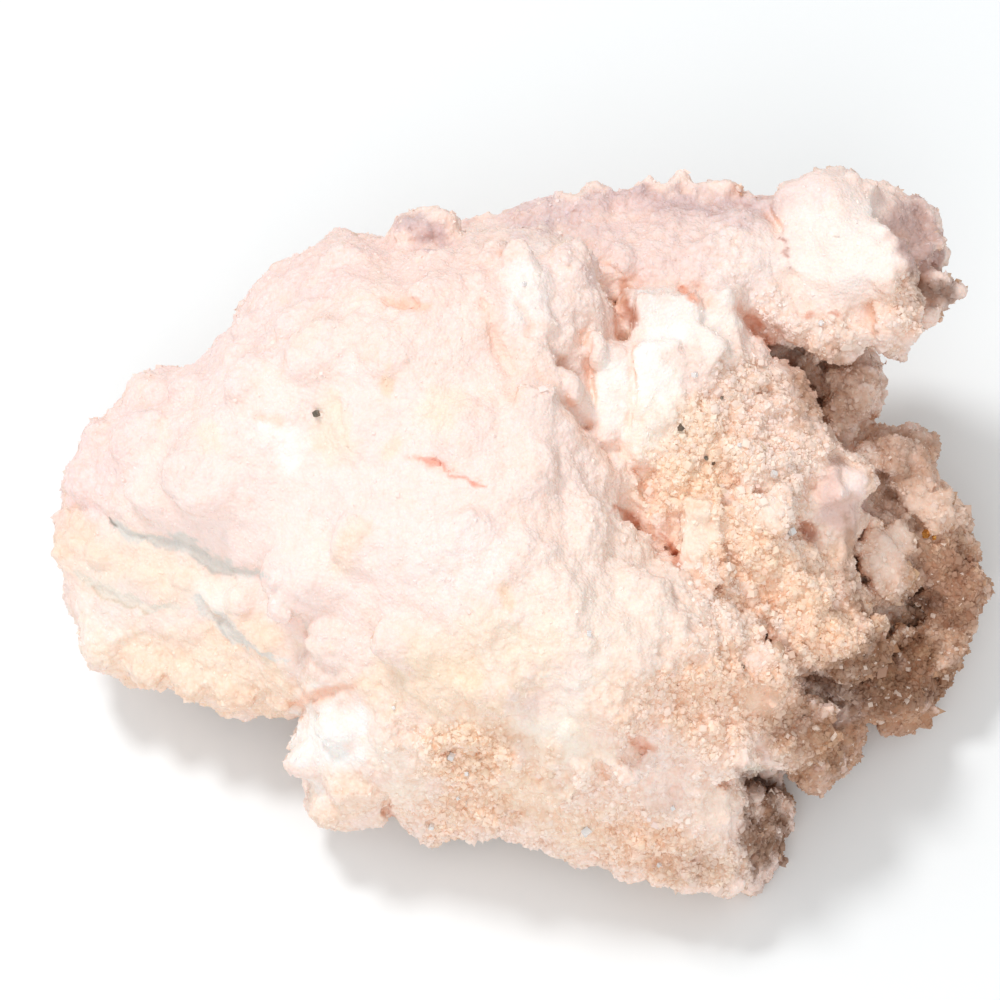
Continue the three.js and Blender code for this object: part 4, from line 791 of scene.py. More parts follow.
# ---- growth and stain, with some painted shade, laid out on the face: x, y, half sizes, turn in degrees, colour, strength, roughness ----
# roughness: 0 smooth and milky, 1 coarse open druse; None leaves it as it is
PATCHES = [
 # the broad zones: open tan druse at the right and the foot; brown at the right rim, partly brown growth and partly
 # painted shade on the flank turned from the light
 (800, 560, 230, 230, 20, (251, 224, 202), 0.75, 0.78),
 (560, 800, 290, 110, 4, (251, 226, 206), 0.70, 0.75),
 (935, 590, 100, 170, 0, (206, 164, 132), 0.90, 0.80),
 (640, 650, 130, 70, 20, (252, 232, 216), 0.55, 0.42),
 # pale left and middle
 (300, 500, 260, 190, -10, (252, 230, 222), 0.80, 0.16),
 (205, 350, 150, 56, -32, (251, 228, 222), 0.75, 0.30),
 (330, 262, 90, 34, -10, (251, 225, 218), 0.70, 0.35),
 (440, 270, 120, 50, 0, (251, 223, 214), 0.60, 0.30),
 (85, 470, 60, 70, 0, (252, 226, 220), 0.80, 0.35),
 (530, 290, 26, 56, -8, (255, 243, 236), 0.80, 0.10),
 (565, 280, 40, 50, 0, (252, 234, 226), 0.60, 0.45),
 (620, 560, 90, 110, 25, (254, 234, 222), 0.60, 0.32),
 (545, 460, 70, 90, 20, (252, 230, 220), 0.45, 0.35),
 (555, 735, 60, 45, 0, (255, 240, 226), 0.80, 0.10),
 (590, 630, 120, 66, 20, (254, 234, 221), 0.60, 0.28),
 (281, 445, 26, 26, 0, (255, 247, 240), 0.70, 0.05),
 (460, 560, 70, 50, 0, (254, 240, 234), 0.50, None),
 (600, 690, 46, 34, 0, (255, 240, 228), 0.70, 0.25),
 (655, 428, 30, 42, 0, (255, 244, 234), 0.85, 0.15),
 # faint yellow and tan stains
 (328, 425, 22, 44, -20, (250, 232, 204), 0.45, 0.20),
 (350, 546, 28, 34, 10, (249, 224, 196), 0.42, 0.40),
 (508, 604, 14, 18, 0, (246, 216, 182), 0.50, 0.35),
 (388, 383, 8, 16, 0, (240, 206, 166), 0.50, None),
 (442, 410, 26, 34, 20, (250, 230, 204), 0.45, None),
 (392, 446, 14, 14, 0, (246, 224, 196), 0.45, None),
 (208, 435, 14, 18, 0, (248, 228, 206), 0.50, None),
 (430, 690, 90, 40, 8, (250, 226, 196), 0.55, 0.30),
 (490, 655, 120, 40, 0, (252, 232, 206), 0.45, None),
 # ledges
 (75, 535, 36, 34, 0, (250, 220, 194), 0.65, 0.40),
 (150, 575, 110, 34, 12, (252, 228, 206), 0.65, 0.35),
 (215, 597, 26, 22, 0, (254, 240, 230), 0.75, 0.10),
 (250, 640, 60, 30, 20, (250, 222, 196), 0.60, 0.35),
 (100, 626, 56, 38, 0, (255, 240, 230), 0.85, 0.30),
 (195, 672, 130, 46, 14, (253, 228, 204), 0.75, 0.38),
 (150, 694, 90, 12, 8, (248, 212, 180), 0.55, 0.60),
 (265, 704, 60, 18, 8, (250, 222, 196), 0.55, 0.60),
 # upper rim: its first four, darker mauve patches are partly mauve tone, partly painted shade on the faces turned up
 # from the light
 (424, 224, 44, 18, 0, (216, 190, 187), 0.88, 0.45),
 (560, 214, 70, 24, 0, (228, 203, 200), 0.75, 0.50),
 (690, 206, 112, 26, 0, (214, 187, 184), 0.85, 0.50),
 (656, 248, 110, 40, 4, (240, 215, 208), 0.70, 0.35),
 (740, 262, 46, 56, 0, (252, 236, 228), 0.70, 0.40),
 (780, 310, 34, 40, 0, (251, 228, 212), 0.70, 0.75),
 # bottom; its dark brown patches at the lower right (769, 838; 805, 742; 832, 752) are partly brown growth, partly
 # painted shade
 (330, 745, 52, 50, 0, (255, 248, 243), 0.90, 0.14),
 (352, 800, 50, 28, 0, (251, 226, 204), 0.70, 0.50),
 (400, 770, 40, 40, 0, (254, 238, 224), 0.60, 0.35),
 (482, 752, 74, 40, 0, (248, 211, 178), 0.85, 0.95),
 (470, 808, 58, 34, 0, (250, 213, 182), 0.85, 0.95),
 (530, 800, 40, 34, 0, (252, 228, 204), 0.70, 0.50),
 (590, 835, 50, 26, 0, (250, 222, 196), 0.75, 0.60),
 (650, 850, 60, 38, 0, (246, 207, 176), 0.80, 0.90),
 (660, 778, 44, 30, 20, (252, 233, 223), 0.75, 0.35),
 (716, 812, 24, 26, 0, (252, 230, 214), 0.75, 0.30),
 (708, 866, 48, 30, 0, (228, 194, 166), 0.78, 0.90),
 (769, 838, 28, 58, 0, (140, 96, 64), 0.90, 0.90),
 (645, 705, 66, 42, 0, (252, 218, 192), 0.70, 0.75),
 (720, 700, 74, 62, 20, (250, 211, 180), 0.80, 0.90),
 (775, 690, 46, 46, 0, (244, 204, 174), 0.75, 0.85),
 (805, 742, 44, 40, 0, (214, 176, 146), 0.85, 0.90),
 (832, 752, 34, 38, 0, (176, 132, 100), 0.90, 0.90),
 # right plate
 (662, 322, 46, 38, 0, (255, 245, 238), 0.85, 0.05),
 (718, 328, 38, 34, 0, (254, 240, 231), 0.75, 0.12),
 (650, 388, 34, 60, 0, (255, 248, 241), 0.88, 0.05),
 (608, 392, 22, 50, 0, (255, 245, 237), 0.85, 0.05),
 (704, 444, 74, 60, 20, (251, 218, 187), 0.75, 0.95),
 (748, 402, 46, 42, 20, (244, 212, 188), 0.70, 0.90),
 (775, 450, 54, 54, 20, (252, 222, 200), 0.60, 0.85),
 (680, 490, 60, 40, 0, (252, 216, 182), 0.65, 0.85),
 (740, 545, 64, 54, 20, (252, 216, 184), 0.70, 0.85),
 (700, 528, 24, 34, 0, (254, 236, 222), 0.70, 0.15),
 (776, 505, 16, 28, 0, (254, 236, 222), 0.70, 0.15),
 # painted shade: the mauve facet that faces right and down
 (835, 500, 30, 44, -20, (232, 202, 194), 0.75, 0.10),
 (856, 484, 16, 18, 0, (250, 232, 226), 0.75, 0.10),
 (835, 630, 60, 52, 20, (250, 210, 176), 0.80, 0.90),
 (790, 590, 64, 52, 20, (251, 213, 180), 0.70, 0.90),
 # knob
 (838, 244, 76, 66, 0, (254, 238, 229), 0.90, 0.14),
 (808, 196, 40, 26, 0, (249, 228, 222), 0.70, 0.28),
 (905, 300, 26, 46, 0, (246, 212, 186), 0.80, 0.90),
 (850, 330, 60, 30, 0, (250, 224, 204), 0.70, 0.75),
 # right side and tip of the knob: partly mauve and brown tone, partly painted shade on the side turned from the light
 (914, 230, 28, 52, 0, (190, 156, 146), 0.85, 0.60),
 (938, 285, 28, 26, 0, (150, 112, 90), 0.85, 0.60),
 # painted shade in the gap; the darker browns on the right rim are partly brown growth, partly painted shade on the
 # flank turned from the light
 (835, 395, 50, 60, 0, (200, 160, 132), 0.75, 0.70),
 (900, 450, 46, 40, 0, (196, 158, 134), 0.80, 0.60),
 (930, 508, 44, 36, 0, (240, 212, 192), 0.80, 0.55),
 (888, 558, 30, 58, 0, (247, 224, 208), 0.90, 0.40),
 (952, 590, 50, 60, 0, (164, 118, 90), 0.85, 0.80),
 (905, 684, 90, 50, 0, (146, 102, 72), 0.88, 0.80),
 (900, 736, 84, 30, 0, (182, 136, 104), 0.88, 0.65),
 (816, 790, 36, 28, 0, (196, 152, 120), 0.80, 0.70),
]
# narrow lines of stronger colour on the face, mostly painted shade along grooves, cracks, holes and gaps between lobes
# and painted glow in the red slits; the grey bands under the lips at the left are partly grey seam, partly painted
# shade: path of x, y, radius; colour; strength
SHADE_SEAM_LINES = [
 # painted glow in the red slits and around them
 ([(408,459,1.5),(420,460,2.4),(430,463,3),(440,464,3),(450,469,1.5)], (228,124,94), 0.88),
 ([(404,458,4),(430,463,7),(452,469,4)], (252,214,198), 0.45),
 ([(450,475,1.6),(462,477,2.4),(474,483,2.4),(487,487,1.5)], (240,160,136), 0.80),
 ([(386,299,6),(404,302,9),(426,307,6)], (248,200,174), 0.62),
 ([(262,415,5),(277,419,6)], (248,204,182), 0.60),
 ([(481,298,6),(488,318,8),(494,340,11),(504,358,12),(513,376,13),(514,396,9)], (250,214,197), 0.42),
 ([(519,302,3),(530,322,5),(526,340,4)], (248,206,186), 0.48),
 # painted shade inside the hole, darker at its lower tip
 ([(622,284,4),(624,300,8),(629,318,7)], (206,144,112), 0.78),
 ([(628,306,4),(633,326,4)], (180,110,82), 0.70),
 ([(632,345,2),(633,370,2),(631,398,2),(627,424,2)], (246,210,192), 0.45),
 ([(682,289,4),(691,296,5),(700,302,4)], (234,160,128), 0.80),
 ([(528,368,2),(545,378,3),(556,386,3),(566,408,4),(580,432,5),(600,452,5),(614,474,5)], (248,210,190), 0.50),
 ([(618,510,4),(628,517,5),(637,523,3)], (206,128,92), 0.75),
 ([(662,536,2),(669,546,4),(677,558,4),(682,564,2)], (206,122,84), 0.75),
 ([(690,570,3),(720,592,3),(748,604,4),(770,624,4)], (232,184,150), 0.45),
 ([(786,640,3),(792,650,5),(800,662,6)], (196,146,112), 0.50),
 ([(628,734,2),(637,741,4),(647,747,4),(655,753,2)], (222,146,108), 0.60),
 ([(298,702,6),(320,696,8),(350,686,5)], (246,196,170), 0.65),
 ([(781,237,1.6),(783,243,2)], (176,112,98), 0.75),
 ([(785,249,2),(787,256,2.2)], (176,112,98), 0.75),
 ([(788,262,1.6),(790,267,1.6)], (176,112,98), 0.70),
 ([(803,318,3),(811,319,3)], (214,140,112), 0.6),
 ([(834,311,3),(840,314,4)], (206,128,100), 0.6),
 ([(742,310,7),(752,322,9),(760,334,8),(772,346,7)], (222,152,120), 0.70),
 ([(784,358,8),(798,374,9),(812,394,10),(828,410,9)], (180,134,106), 0.50),
 ([(802,531,7),(813,538,7)], (186,120,92), 0.75),
 ([(742,776,8),(756,784,11),(772,790,10)], (104,72,54), 0.75),
 ([(748,771,5),(766,770,5)], (196,190,178), 0.60),
 ([(389,804,3),(388,816,5)], (206,146,120), 0.6),
 # bands under the lips at the left: partly grey seam, partly painted shade
 ([(110,521,3),(118,529,6),(130,537,8),(147,539,6.5),(163,541,8),(178,543,7),(192,549,9.5),(206,558,9.5),(218,566,7.5),(232,571,5),(250,573,3.5),(266,575,2.5)], (219,218,213), 0.86),
 ([(78,572,4),(90,584,7),(105,594,8),(121,600,7),(143,604,6),(162,607,4.5),(178,610,3)], (232,225,214), 0.80),
 ([(194,598,3.5),(206,611,6.5),(218,619,8),(230,630,7.5),(242,641,6),(262,653,3.5),(290,664,2.5)], (224,223,219), 0.80),
 ([(277,597,2.5),(288,607,3),(300,621,2.5),(316,637,2.5)], (228,218,209), 0.60),
 ([(148,544,1.6),(166,548,2),(180,549,1.4)], (188,184,176), 0.60),
 ([(190,556,1.6),(204,565,2.4),(218,573,2),(234,576,1.4)], (186,184,178), 0.65),
 ([(92,592,1.4),(110,602,1.8),(130,607,1.6),(150,610,1.2)], (214,190,164), 0.65),
 ([(204,616,1.4),(218,627,1.8),(232,640,1.6)], (196,194,190), 0.60),
 ([(106,516,1.6),(109,521,2.4),(113,526,2)], (116,108,96), 0.80),
 # painted shade in the dark hole and in the gaps between the lobes at the right
 ([(910,600,9),(934,601,9)], (96,62,46), 0.75),
 ([(847,520,6),(850,545,8),(846,575,8),(853,600,8),(864,618,6)], (176,138,114), 0.62),
 ([(882,474,6),(890,494,9),(898,508,10),(910,522,8),(922,540,7),(934,556,5)], (148,112,90), 0.66),
 ([(804,672,6),(818,684,8),(832,694,7)], (132,92,68), 0.70),
 ([(722,548,4),(724,570,4),(722,590,4)], (226,178,144), 0.5),
 ([(866,304,3),(872,318,5),(875,332,5)], (226,176,146), 0.6),
]
# grains set in the druse: x, y, half size in units, kind
GRAINS = [
 (317, 413, 4.2, 'dark'), (680, 426, 3.6, 'dark'),
 (741, 667, 2.6, 'dark'), (720, 718, 1.7, 'dark'), (684, 832, 2.2, 'dark'), (822, 638, 2.4, 'dark'),

 (706, 458, 2.4, 'dark'), (713, 462, 2.4, 'dark'), (722, 398, 2.2, 'dark'),
 (928, 531, 5.0, 'gold'), (933, 536, 3.4, 'gold'),
 (695, 375, 3.8, 'clear'), (773, 473, 4.2, 'clear'), (788, 531, 5.0, 'clear'), (588, 634, 3.2, 'clear'), (467, 773, 2.8, 'clear'),
 (451, 755, 4.6, 'clear'), (459, 797, 2.4, 'clear'), (430, 825, 3.6, 'clear'), (585, 830, 5.6, 'clear'), (660, 865, 3.0, 'clear'),
 (672, 808, 3.0, 'clear'), (822, 323, 3.4, 'clear'), (525, 284, 3.0, 'clear'), (740, 446, 2.8, 'clear'), (394, 708, 2.6, 'clear'),
]


def linear(c):
    c = np.asarray(c, float) / 255.0
    return np.where(c <= 0.04045, c / 12.92, ((c + 0.055) / 1.055) ** 2.4)


def mixed(base, value, share):
    return base + (value - base) * share[:, None]


def growth(P, N):
    """colour (linear) and roughness at surface points; N is the outward direction in the layout frame"""
    n = len(P)
    wob = np.stack([gnoise(P, 50, 61), gnoise(P, 50, 62)], 1) * 17 + np.stack([gnoise(P, 17, 63), gnoise(P, 17, 64)], 1) * 8
    x, y, w = P[:, 0] + wob[:, 0], P[:, 1] + wob[:, 1], P[:, 2]
    big, mid, fine = gnoise(P, 120, 65), gnoise(P, 48, 66), gnoise(P, 17, 67)
    edge = gnoise(P, 28, 68) * 0.34 + fine * 0.22 + gnoise(P, 8, 69) * 0.16
    # what the hidden sides are like: the same pale growth, with tan druse mottled in, more of it towards the right, and
    # darker brown at the right and at the lower right
    stain = smooth(-0.25, 0.75, big * 0.9 + mid * 0.5 + (x - 560) / 620)
    col = np.tile(linear((249, 229, 217)), (n, 1))
    col = mixed(col, linear((248, 216, 206)), smooth(0.0, 0.8, -big + mid * 0.5) * 0.6)
    col = mixed(col, linear((226, 190, 156)), stain * 0.75)
    col = mixed(col, linear((176, 134, 102)), smooth(0.35, 1.0, stain) * smooth(700, 900, x) * 0.7)
    low = smooth(720, 860, x + 0.25 * (y - 600)) * smooth(520, 650, y)
    col = mixed(col, linear((184, 142, 110)), low * 0.85)
    rough = 0.45 + 0.4 * stain + 0.15 * mid
    front = smooth(-0.35, 0.2, N[:, 2]) * smooth(-190, -90, w)
    fcol = np.tile(linear((249, 227, 216)), (n, 1))
    fr = np.full(n, 0.3)
    for px, py, rx, ry, turn, c, s, r in PATCHES:
        ca, sa = math.cos(math.radians(turn)), math.sin(math.radians(turn))
        u, v = ((x - px) * ca + (y - py) * sa) / rx, (-(x - px) * sa + (y - py) * ca) / ry
        q = 1 - smooth(0.42, 1.18, np.sqrt(u * u + v * v) + edge)
        fcol = mixed(fcol, linear(c), q * s)
        if r is not None:
            fr = fr + (r - fr) * q * min(1.0, s + 0.15)
    fcol = fcol * np.array([1.0, 1.035, 1.075]) * (1 + np.array([0.0, 0.060, 0.138]) * np.clip(fr - 0.3, 0, 1)[:, None] / 0.6)
    fcol = np.minimum(fcol, 0.97)
    col = mixed(col, fcol, front)
    rough = rough + (fr - rough) * front
    # the rim, where the face turns away, carries small crystals everywhere
    rough = np.maximum(rough, 0.62 * (1 - smooth(0.05, 0.5, N[:, 2])) * smooth(-0.5, 0.0, N[:, 2]))
    # mottling
    col = col * (1 + 0.035 * mid + 0.03 * fine)[:, None]
    col = mixed(col, linear((236, 196, 160)), np.clip(rough, 0, 1) * smooth(0.15, 0.7, fine + 0.4 * mid) * 0.28)
    return col, np.clip(rough, 0, 1)


def paint_shade_seam_lines(P, col, g, top):
    """colours of the lines on the face, mostly painted shade and glow, on points at or just under the face"""
    wob = np.stack([gnoise(P, 26, 72), gnoise(P, 26, 73)], 1) * 5 + np.stack([gnoise(P, 10, 74), gnoise(P, 10, 75)], 1) * 3.4
    x, y = P[:, 0] + wob[:, 0], P[:, 1] + wob[:, 1]
    i = np.clip(((P[:, 0] - g.lo[0]) / g.h).round().astype(int), 0, top.shape[0] - 1)
    j = np.clip(((P[:, 1] - g.lo[1]) / g.h).round().astype(int), 0, top.shape[1] - 1)
    under = np.nan_to_num(top[i, j], nan=-999.0) - P[:, 2]
    shown = 1 - smooth(46, 80, under)
    grain = gnoise(P, 9, 71) * 0.35
    patchy = gnoise(P, 15, 76) + 0.8 * gnoise(P, 6, 77)
    for path, c, s in SHADE_SEAM_LINES:
        p = np.array(path, float)
        r = p[:, 2].max()
        near = (x > p[:, 0].min() - 2 * r) & (x < p[:, 0].max() + 2 * r) & (y > p[:, 1].min() - 2 * r) & (y < p[:, 1].max() + 2 * r) & (shown > 0)
        if not near.any():
            continue
        X, Y = x[near], y[near]
        q = np.full(len(X), 9.0)
        for a, b in zip(p[:-1], p[1:]):
            e = b[:2] - a[:2]
            t = np.clip(((X - a[0]) * e[0] + (Y - a[1]) * e[1]) / (e @ e + 1e-9), 0, 1)
            rr = a[2] + (b[2] - a[2]) * t
            q = np.minimum(q, np.hypot(X - a[0] - e[0] * t, Y - a[1] - e[1] * t) / rr)
        soft = (0.62, 1.08) if s > 0.78 and c[2] > 190 else (0.1, 1.45)
        if soft[0] > 0.5:
            q = q * (1 + 0.30 * patchy[near])
        q = (1 - smooth(soft[0], soft[1], q + grain[near])) * shown[near]
        col[near] = mixed(col[near], linear(c), q * s)
    return col


# ---- meshes ----
def new_object(name, V, polys, sizes, colour=None, smooth_faces=False):
    """a mesh object from flat arrays, made fast"""
    me = bpy.data.meshes.new(name)
    me.vertices.add(len(V))
    me.vertices.foreach_set('co', V.astype(np.float32).ravel())
    me.loops.add(len(polys))
    me.loops.foreach_set('vertex_index', polys.astype(np.int32))
    me.polygons.add(len(sizes))
    start = np.concatenate([[0], np.cumsum(sizes)[:-1]]).astype(np.int32)
    me.polygons.foreach_set('loop_start', start)
    me.update(calc_edges=True)
    me.validate(verbose=False)
    if colour is not None:
        a = me.color_attributes.new('growth', 'FLOAT_COLOR', 'POINT')
        a.data.foreach_set('color', np.c_[colour, np.ones(len(colour))].astype(np.float32).ravel())
    me.polygons.foreach_set('use_smooth', np.full(len(me.polygons), smooth_faces))
    o = bpy.data.objects.new(name, me)
    bpy.context.scene.collection.objects.link(o)
    return o


def main_piece(V, F):
    """the largest connected piece of a quad mesh"""
    lab = np.arange(len(V))
    E = np.vstack([F[:, [0, 1]], F[:, [1, 2]], F[:, [2, 3]], F[:, [3, 0]]])
    while True:
        m = np.minimum(lab[E[:, 0]], lab[E[:, 1]])
        new = lab.copy()
        np.minimum.at(new, E[:, 0], m)
        np.minimum.at(new, E[:, 1], m)
        new = new[new]
        new = new[new]
        if (new == lab).all():
            break
        lab = new
    ids, count = np.unique(lab, return_counts=True)
    keep = lab == ids[count.argmax()]
    F = F[keep[F[:, 0]]]
    idx = np.cumsum(keep) - 1
    return V[keep], idx[F]


def normals_of(V, F):
    n = np.cross(V[F[:, 2]] - V[F[:, 0]], V[F[:, 3]] - V[F[:, 1]])
    out = np.zeros_like(V)
    for k in range(4):
        for c in range(3):
            out[:, c] += np.bincount(F[:, k], n[:, c], len(V))
    return out / (np.linalg.norm(out, axis=1, keepdims=True) + 1e-12)


def corner_normals(V, flat, sizes):
    """normals at the points of a mesh of any polygons"""
    start = np.concatenate([[0], np.cumsum(sizes)[:-1]])
    owner = np.repeat(np.arange(len(sizes)), sizes)
    nxt = np.arange(len(flat)) + 1
    nxt[start + sizes - 1] = start
    a = V[flat]
    cr = np.cross(a, V[flat[nxt]])
    out = np.zeros_like(V)
    pn = np.stack([np.bincount(owner, cr[:, c], len(sizes)) for c in range(3)], 1)
    for c in range(3):
        out[:, c] = np.bincount(flat, pn[owner, c], len(V))
    return out / (np.linalg.norm(out, axis=1, keepdims=True) + 1e-15), flat[nxt]


H = 4.0
clock = time.perf_counter()


def lap(text):
    global clock
    now_ = time.perf_counter()
    print('%6.1f s  %s' % (now_ - clock, text))
    clock = now_


g = sculpt(H)
face_top = face_height(g)
lap('sculpt')
g.f = rest_cut(g, roughen(g))
lap('roughen')
V, F = surface_nets(g.f, g.lo, H)
V, F = main_piece(V, F)
NL = dir_to_layout(normals_of(to_world(V), F))
lap('surface, %d quads' % len(F))

# the face of the specimen is made finer than its hidden sides
qn, qc = NL[F].mean(1), V[F].mean(1)
fine = (qn[:, 2] > 0.12) & (qc[:, 2] > -170)
V, flat, sizes, parents, ends, Ff = refine(V, F, fine)
is_fine = np.zeros(len(V), bool)
start = np.concatenate([[0], np.cumsum(sizes)[:-1]])
nfine = 4 * int(fine.sum())
is_fine[flat[:4 * nfine]] = True
shared = np.zeros(len(V), bool)
shared[flat[4 * nfine:]] = True
inner = is_fine & ~shared
# even out the points that were added
nxt = np.arange(len(flat)) + 1
nxt[start + sizes - 1] = start
b_ = flat[nxt]
deg = np.bincount(flat, minlength=len(V)) + np.bincount(b_, minlength=len(V))
avg = np.stack([np.bincount(flat, V[b_, c], len(V)) + np.bincount(b_, V[flat, c], len(V)) for c in range(3)], 1) / deg[:, None]
V = np.where(inner[:, None], V * 0.45 + avg * 0.55, V)
W = to_world(V)
NW, _ = corner_normals(W, flat, sizes)
NL = dir_to_layout(NW)
lap('refine, %d points' % len(V))


def hollow(P, N):
    """0 on open surface, 1 deep in a crevice: how soon the way out meets other growth"""
    out = 0
    for d, k in ((7, 0.30), (15, 0.35), (30, 0.35)):
        out = out + k * np.clip(1 - g.at(P + N * d) / (d * 0.92), 0, 1.6)
    return np.clip(out, 0, 1.4)


# fine relief: blocks grown into each other, and rounded grains on them, stronger where the growth is rough
col, rgh = growth(V, NL)
still = calm(V)
hol = hollow(V, NL)
lap('growth')
b1, joint1, _ = rhombs(V, 15, 41)
d1, d2, gid = cells(V, 6.4, 42)
dome = np.sqrt(np.clip(1 - (d1 / 0.80) ** 2, 0, 1))
seam2 = np.clip((d2 - d1) / 0.35, 0, 1)
grainy = np.clip(rgh, 0, 1) * (0.3 + 0.7 * still)
b2, joint2, _ = rhombs(V, 8.5, 44)
lift = (b1 - 0.42) * 7.6 * (0.12 + 0.88 * grainy) + (b2 - 0.42) * 4.4 * (0.08 + 0.92 * grainy) + (dome - 0.72) * 2.4 * (0.14 + 0.86 * grainy) + gnoise(V, 9, 43) * 0.4
W_rest = W[:, 2] < 0.0008
lift *= np.where(W_rest, 0.0, 1.0)
W = W + NW * (lift * UNIT * 0.001)[:, None]
W[:, 2] = np.where(W[:, 2] < 0.00025, 0.0, W[:, 2])
NW, _ = corner_normals(W, flat, sizes)
# painted shade: between grains, between blocks and deep in crevices the body is given a warmer, darker colour; each
# grain also has its own slight random tint
tone = ((gid >> np.uint32(7)) & np.uint32(255)) / 255.0 - 0.5
col = col * (1 + tone * 0.10 * grainy)[:, None]
# painted shade in the gaps between grains and between blocks
col = mixed(col, col * np.array([0.89, 0.74, 0.62]), grainy * (1 - seam2) * 0.50)
col = mixed(col, col * np.array([0.86, 0.70, 0.57]), grainy * (1 - smooth(0.0, 0.24, joint2)) * 0.65)
col = mixed(col, col * np.array([0.90, 0.74, 0.64]), (1 - smooth(0.0, 0.16, joint1)) * (0.12 + 0.60 * grainy))
# painted shade deep in crevices, from how soon the way out meets other growth
col = mixed(col, col * np.array([0.94, 0.74, 0.62]), smooth(0.35, 1.1, hol) * 0.75)
# painted shade and glow along the lines on the face
col = paint_shade_seam_lines(V, col, g, face_top)
lap('relief')

whole = new_object('whole', W, flat, sizes, np.clip(col, 0, 1), smooth_faces=True)


def thin(obj, points, keep_share):
    """fewer triangles where the points are; the others stay as they are"""
    if keep_share >= 1:
        return
    grp = obj.vertex_groups.new(name='thin')
    grp.add([int(i) for i in points], 1.0, 'REPLACE')
    m = obj.modifiers.new('thin', 'DECIMATE')
    m.ratio = keep_share
    m.use_collapse_triangulate = True
    m.vertex_group = 'thin'
    m.vertex_group_factor = 1.0
    dg = bpy.context.evaluated_depsgraph_get()
    me = bpy.data.meshes.new_from_object(obj.evaluated_get(dg))
    obj.modifiers.clear()
    old = obj.data
    obj.data = me
    bpy.data.meshes.remove(old)
    obj.vertex_groups.clear()


zone = np.where(inner, 1.0, np.where(is_fine, 0.5, 0.0))
za = whole.data.attributes.new('zone', 'FLOAT', 'POINT')
za.data.foreach_set('value', zone.astype(np.float32))


def face_counts(me):
    """triangles in the face part and in the hidden part, the polygons of each, and the zone of each point"""
    zo = np.zeros(len(me.vertices), np.float32)
    me.attributes['zone'].data.foreach_get('value', zo)
    lv = np.zeros(len(me.loops), np.int32)
    me.loops.foreach_get('vertex_index', lv)
    lt = np.zeros(len(me.polygons), np.int32)
    me.polygons.foreach_get('loop_total', lt)
    st = np.concatenate([[0], np.cumsum(lt)[:-1]])
    isf = np.minimum.reduceat(zo[lv], st) >= 0.499
    return int((lt[isf] - 2).sum()), int((lt[~isf] - 2).sum()), isf, zo, lv, lt


GOAL_FACE, GOAL_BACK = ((440000, 165000))
nf, nb, *_ = face_counts(whole.data)
lap('triangles in face and back %d %d' % (nf, nb))
zo = zone
thin(whole, np.nonzero(zo < 0.4)[0], (nf + min(nb, GOAL_BACK)) / (nf + nb))
nf, nb, _, zo, _, _ = face_counts(whole.data)
lap('back thinned %d %d' % (nf, nb))
thin(whole, np.nonzero(zo > 0.6)[0], (nb + min(nf, GOAL_FACE)) / (nf + nb))
nf, nb, isf, zo, lv, lt = face_counts(whole.data)
lap('face thinned %d %d' % (nf, nb))
me = whole.data
nv = len(me.vertices)
co = np.zeros(nv * 3, np.float32)
me.vertices.foreach_get('co', co)
co = co.reshape(-1, 3).astype(float)
no = np.zeros(nv * 3, np.float32)
me.vertex_normals.foreach_get('vector', no)
no = no.reshape(-1, 3)
vc = np.zeros(nv * 4, np.float32)
me.color_attributes['growth'].data.foreach_get('color', vc)
vc = vc.reshape(-1, 4)[:, :3]
bpy.data.objects.remove(whole)


def part_of(name, polys):
    """some polygons of the whole body as an object, with the whole body's normals, so that the parts meet without a line"""
    own = np.repeat(polys, lt)
    ids, back_ = np.unique(lv[own], return_inverse=True)
    o = new_object(name, co[ids], back_.ravel(), lt[polys], vc[ids], smooth_faces=True)
    o.data.normals_split_custom_set_from_vertices(no[ids].tolist())
    return o


# the face is given as three pieces side by side, each with its share of the triangles
pst = np.concatenate([[0], np.cumsum(lt)[:-1]])
px = np.add.reduceat(co[lv, 0], pst) / lt
px = px + gnoise(to_layout(co[lv[pst]]), 40, 91) * 0.004 + gnoise(to_layout(co[lv[pst]]), 12, 92) * 0.0015
rank = np.argsort(np.argsort(np.where(isf, px, 9e9), kind='stable'), kind='stable') / max(1, int(isf.sum()))
face_parts = [part_of('specimen_face_%d' % (i + 1), isf & (rank >= i / 3) & (rank < (i + 1) / 3)) for i in range(3)]
back = part_of('specimen_underside', ~isf)
body = face_parts[0]
lap('body parts')

# ---- the druse: small rhombohedral crystals standing in the surface, and fine grains between and around them ----
rs = np.random.RandomState(20)
tri_start = np.concatenate([[0], np.cumsum(sizes)[:-1]])
A0, A1, A2 = W[flat[tri_start]], W[flat[tri_start + 1]], W[flat[tri_start + 2]]
A3 = W[flat[tri_start + np.minimum(3, sizes - 1)]]
poly_n = np.cross(A2 - A0, A3 - A1)
poly_a = np.linalg.norm(poly_n, axis=1) / 2 / (UNIT * 0.001) ** 2
poly_n /= np.linalg.norm(poly_n, axis=1, keepdims=True) + 1e-15
poly_c = (A0 + A1 + A2 + A3) / 4
qP, qN = to_layout(poly_c), dir_to_layout(poly_n)
first = flat[tri_start]
off_rest = np.where(poly_c[:, 2] < 0.0009, 0, 1)
facing = smooth(-0.30, 0.12, qN[:, 2]) * smooth(-200, -110, qP[:, 2])
qr, qcalm = rgh[first], still[first]
coarse = smooth(0.30, 0.80, qr * (0.4 + 0.6 * qcalm))


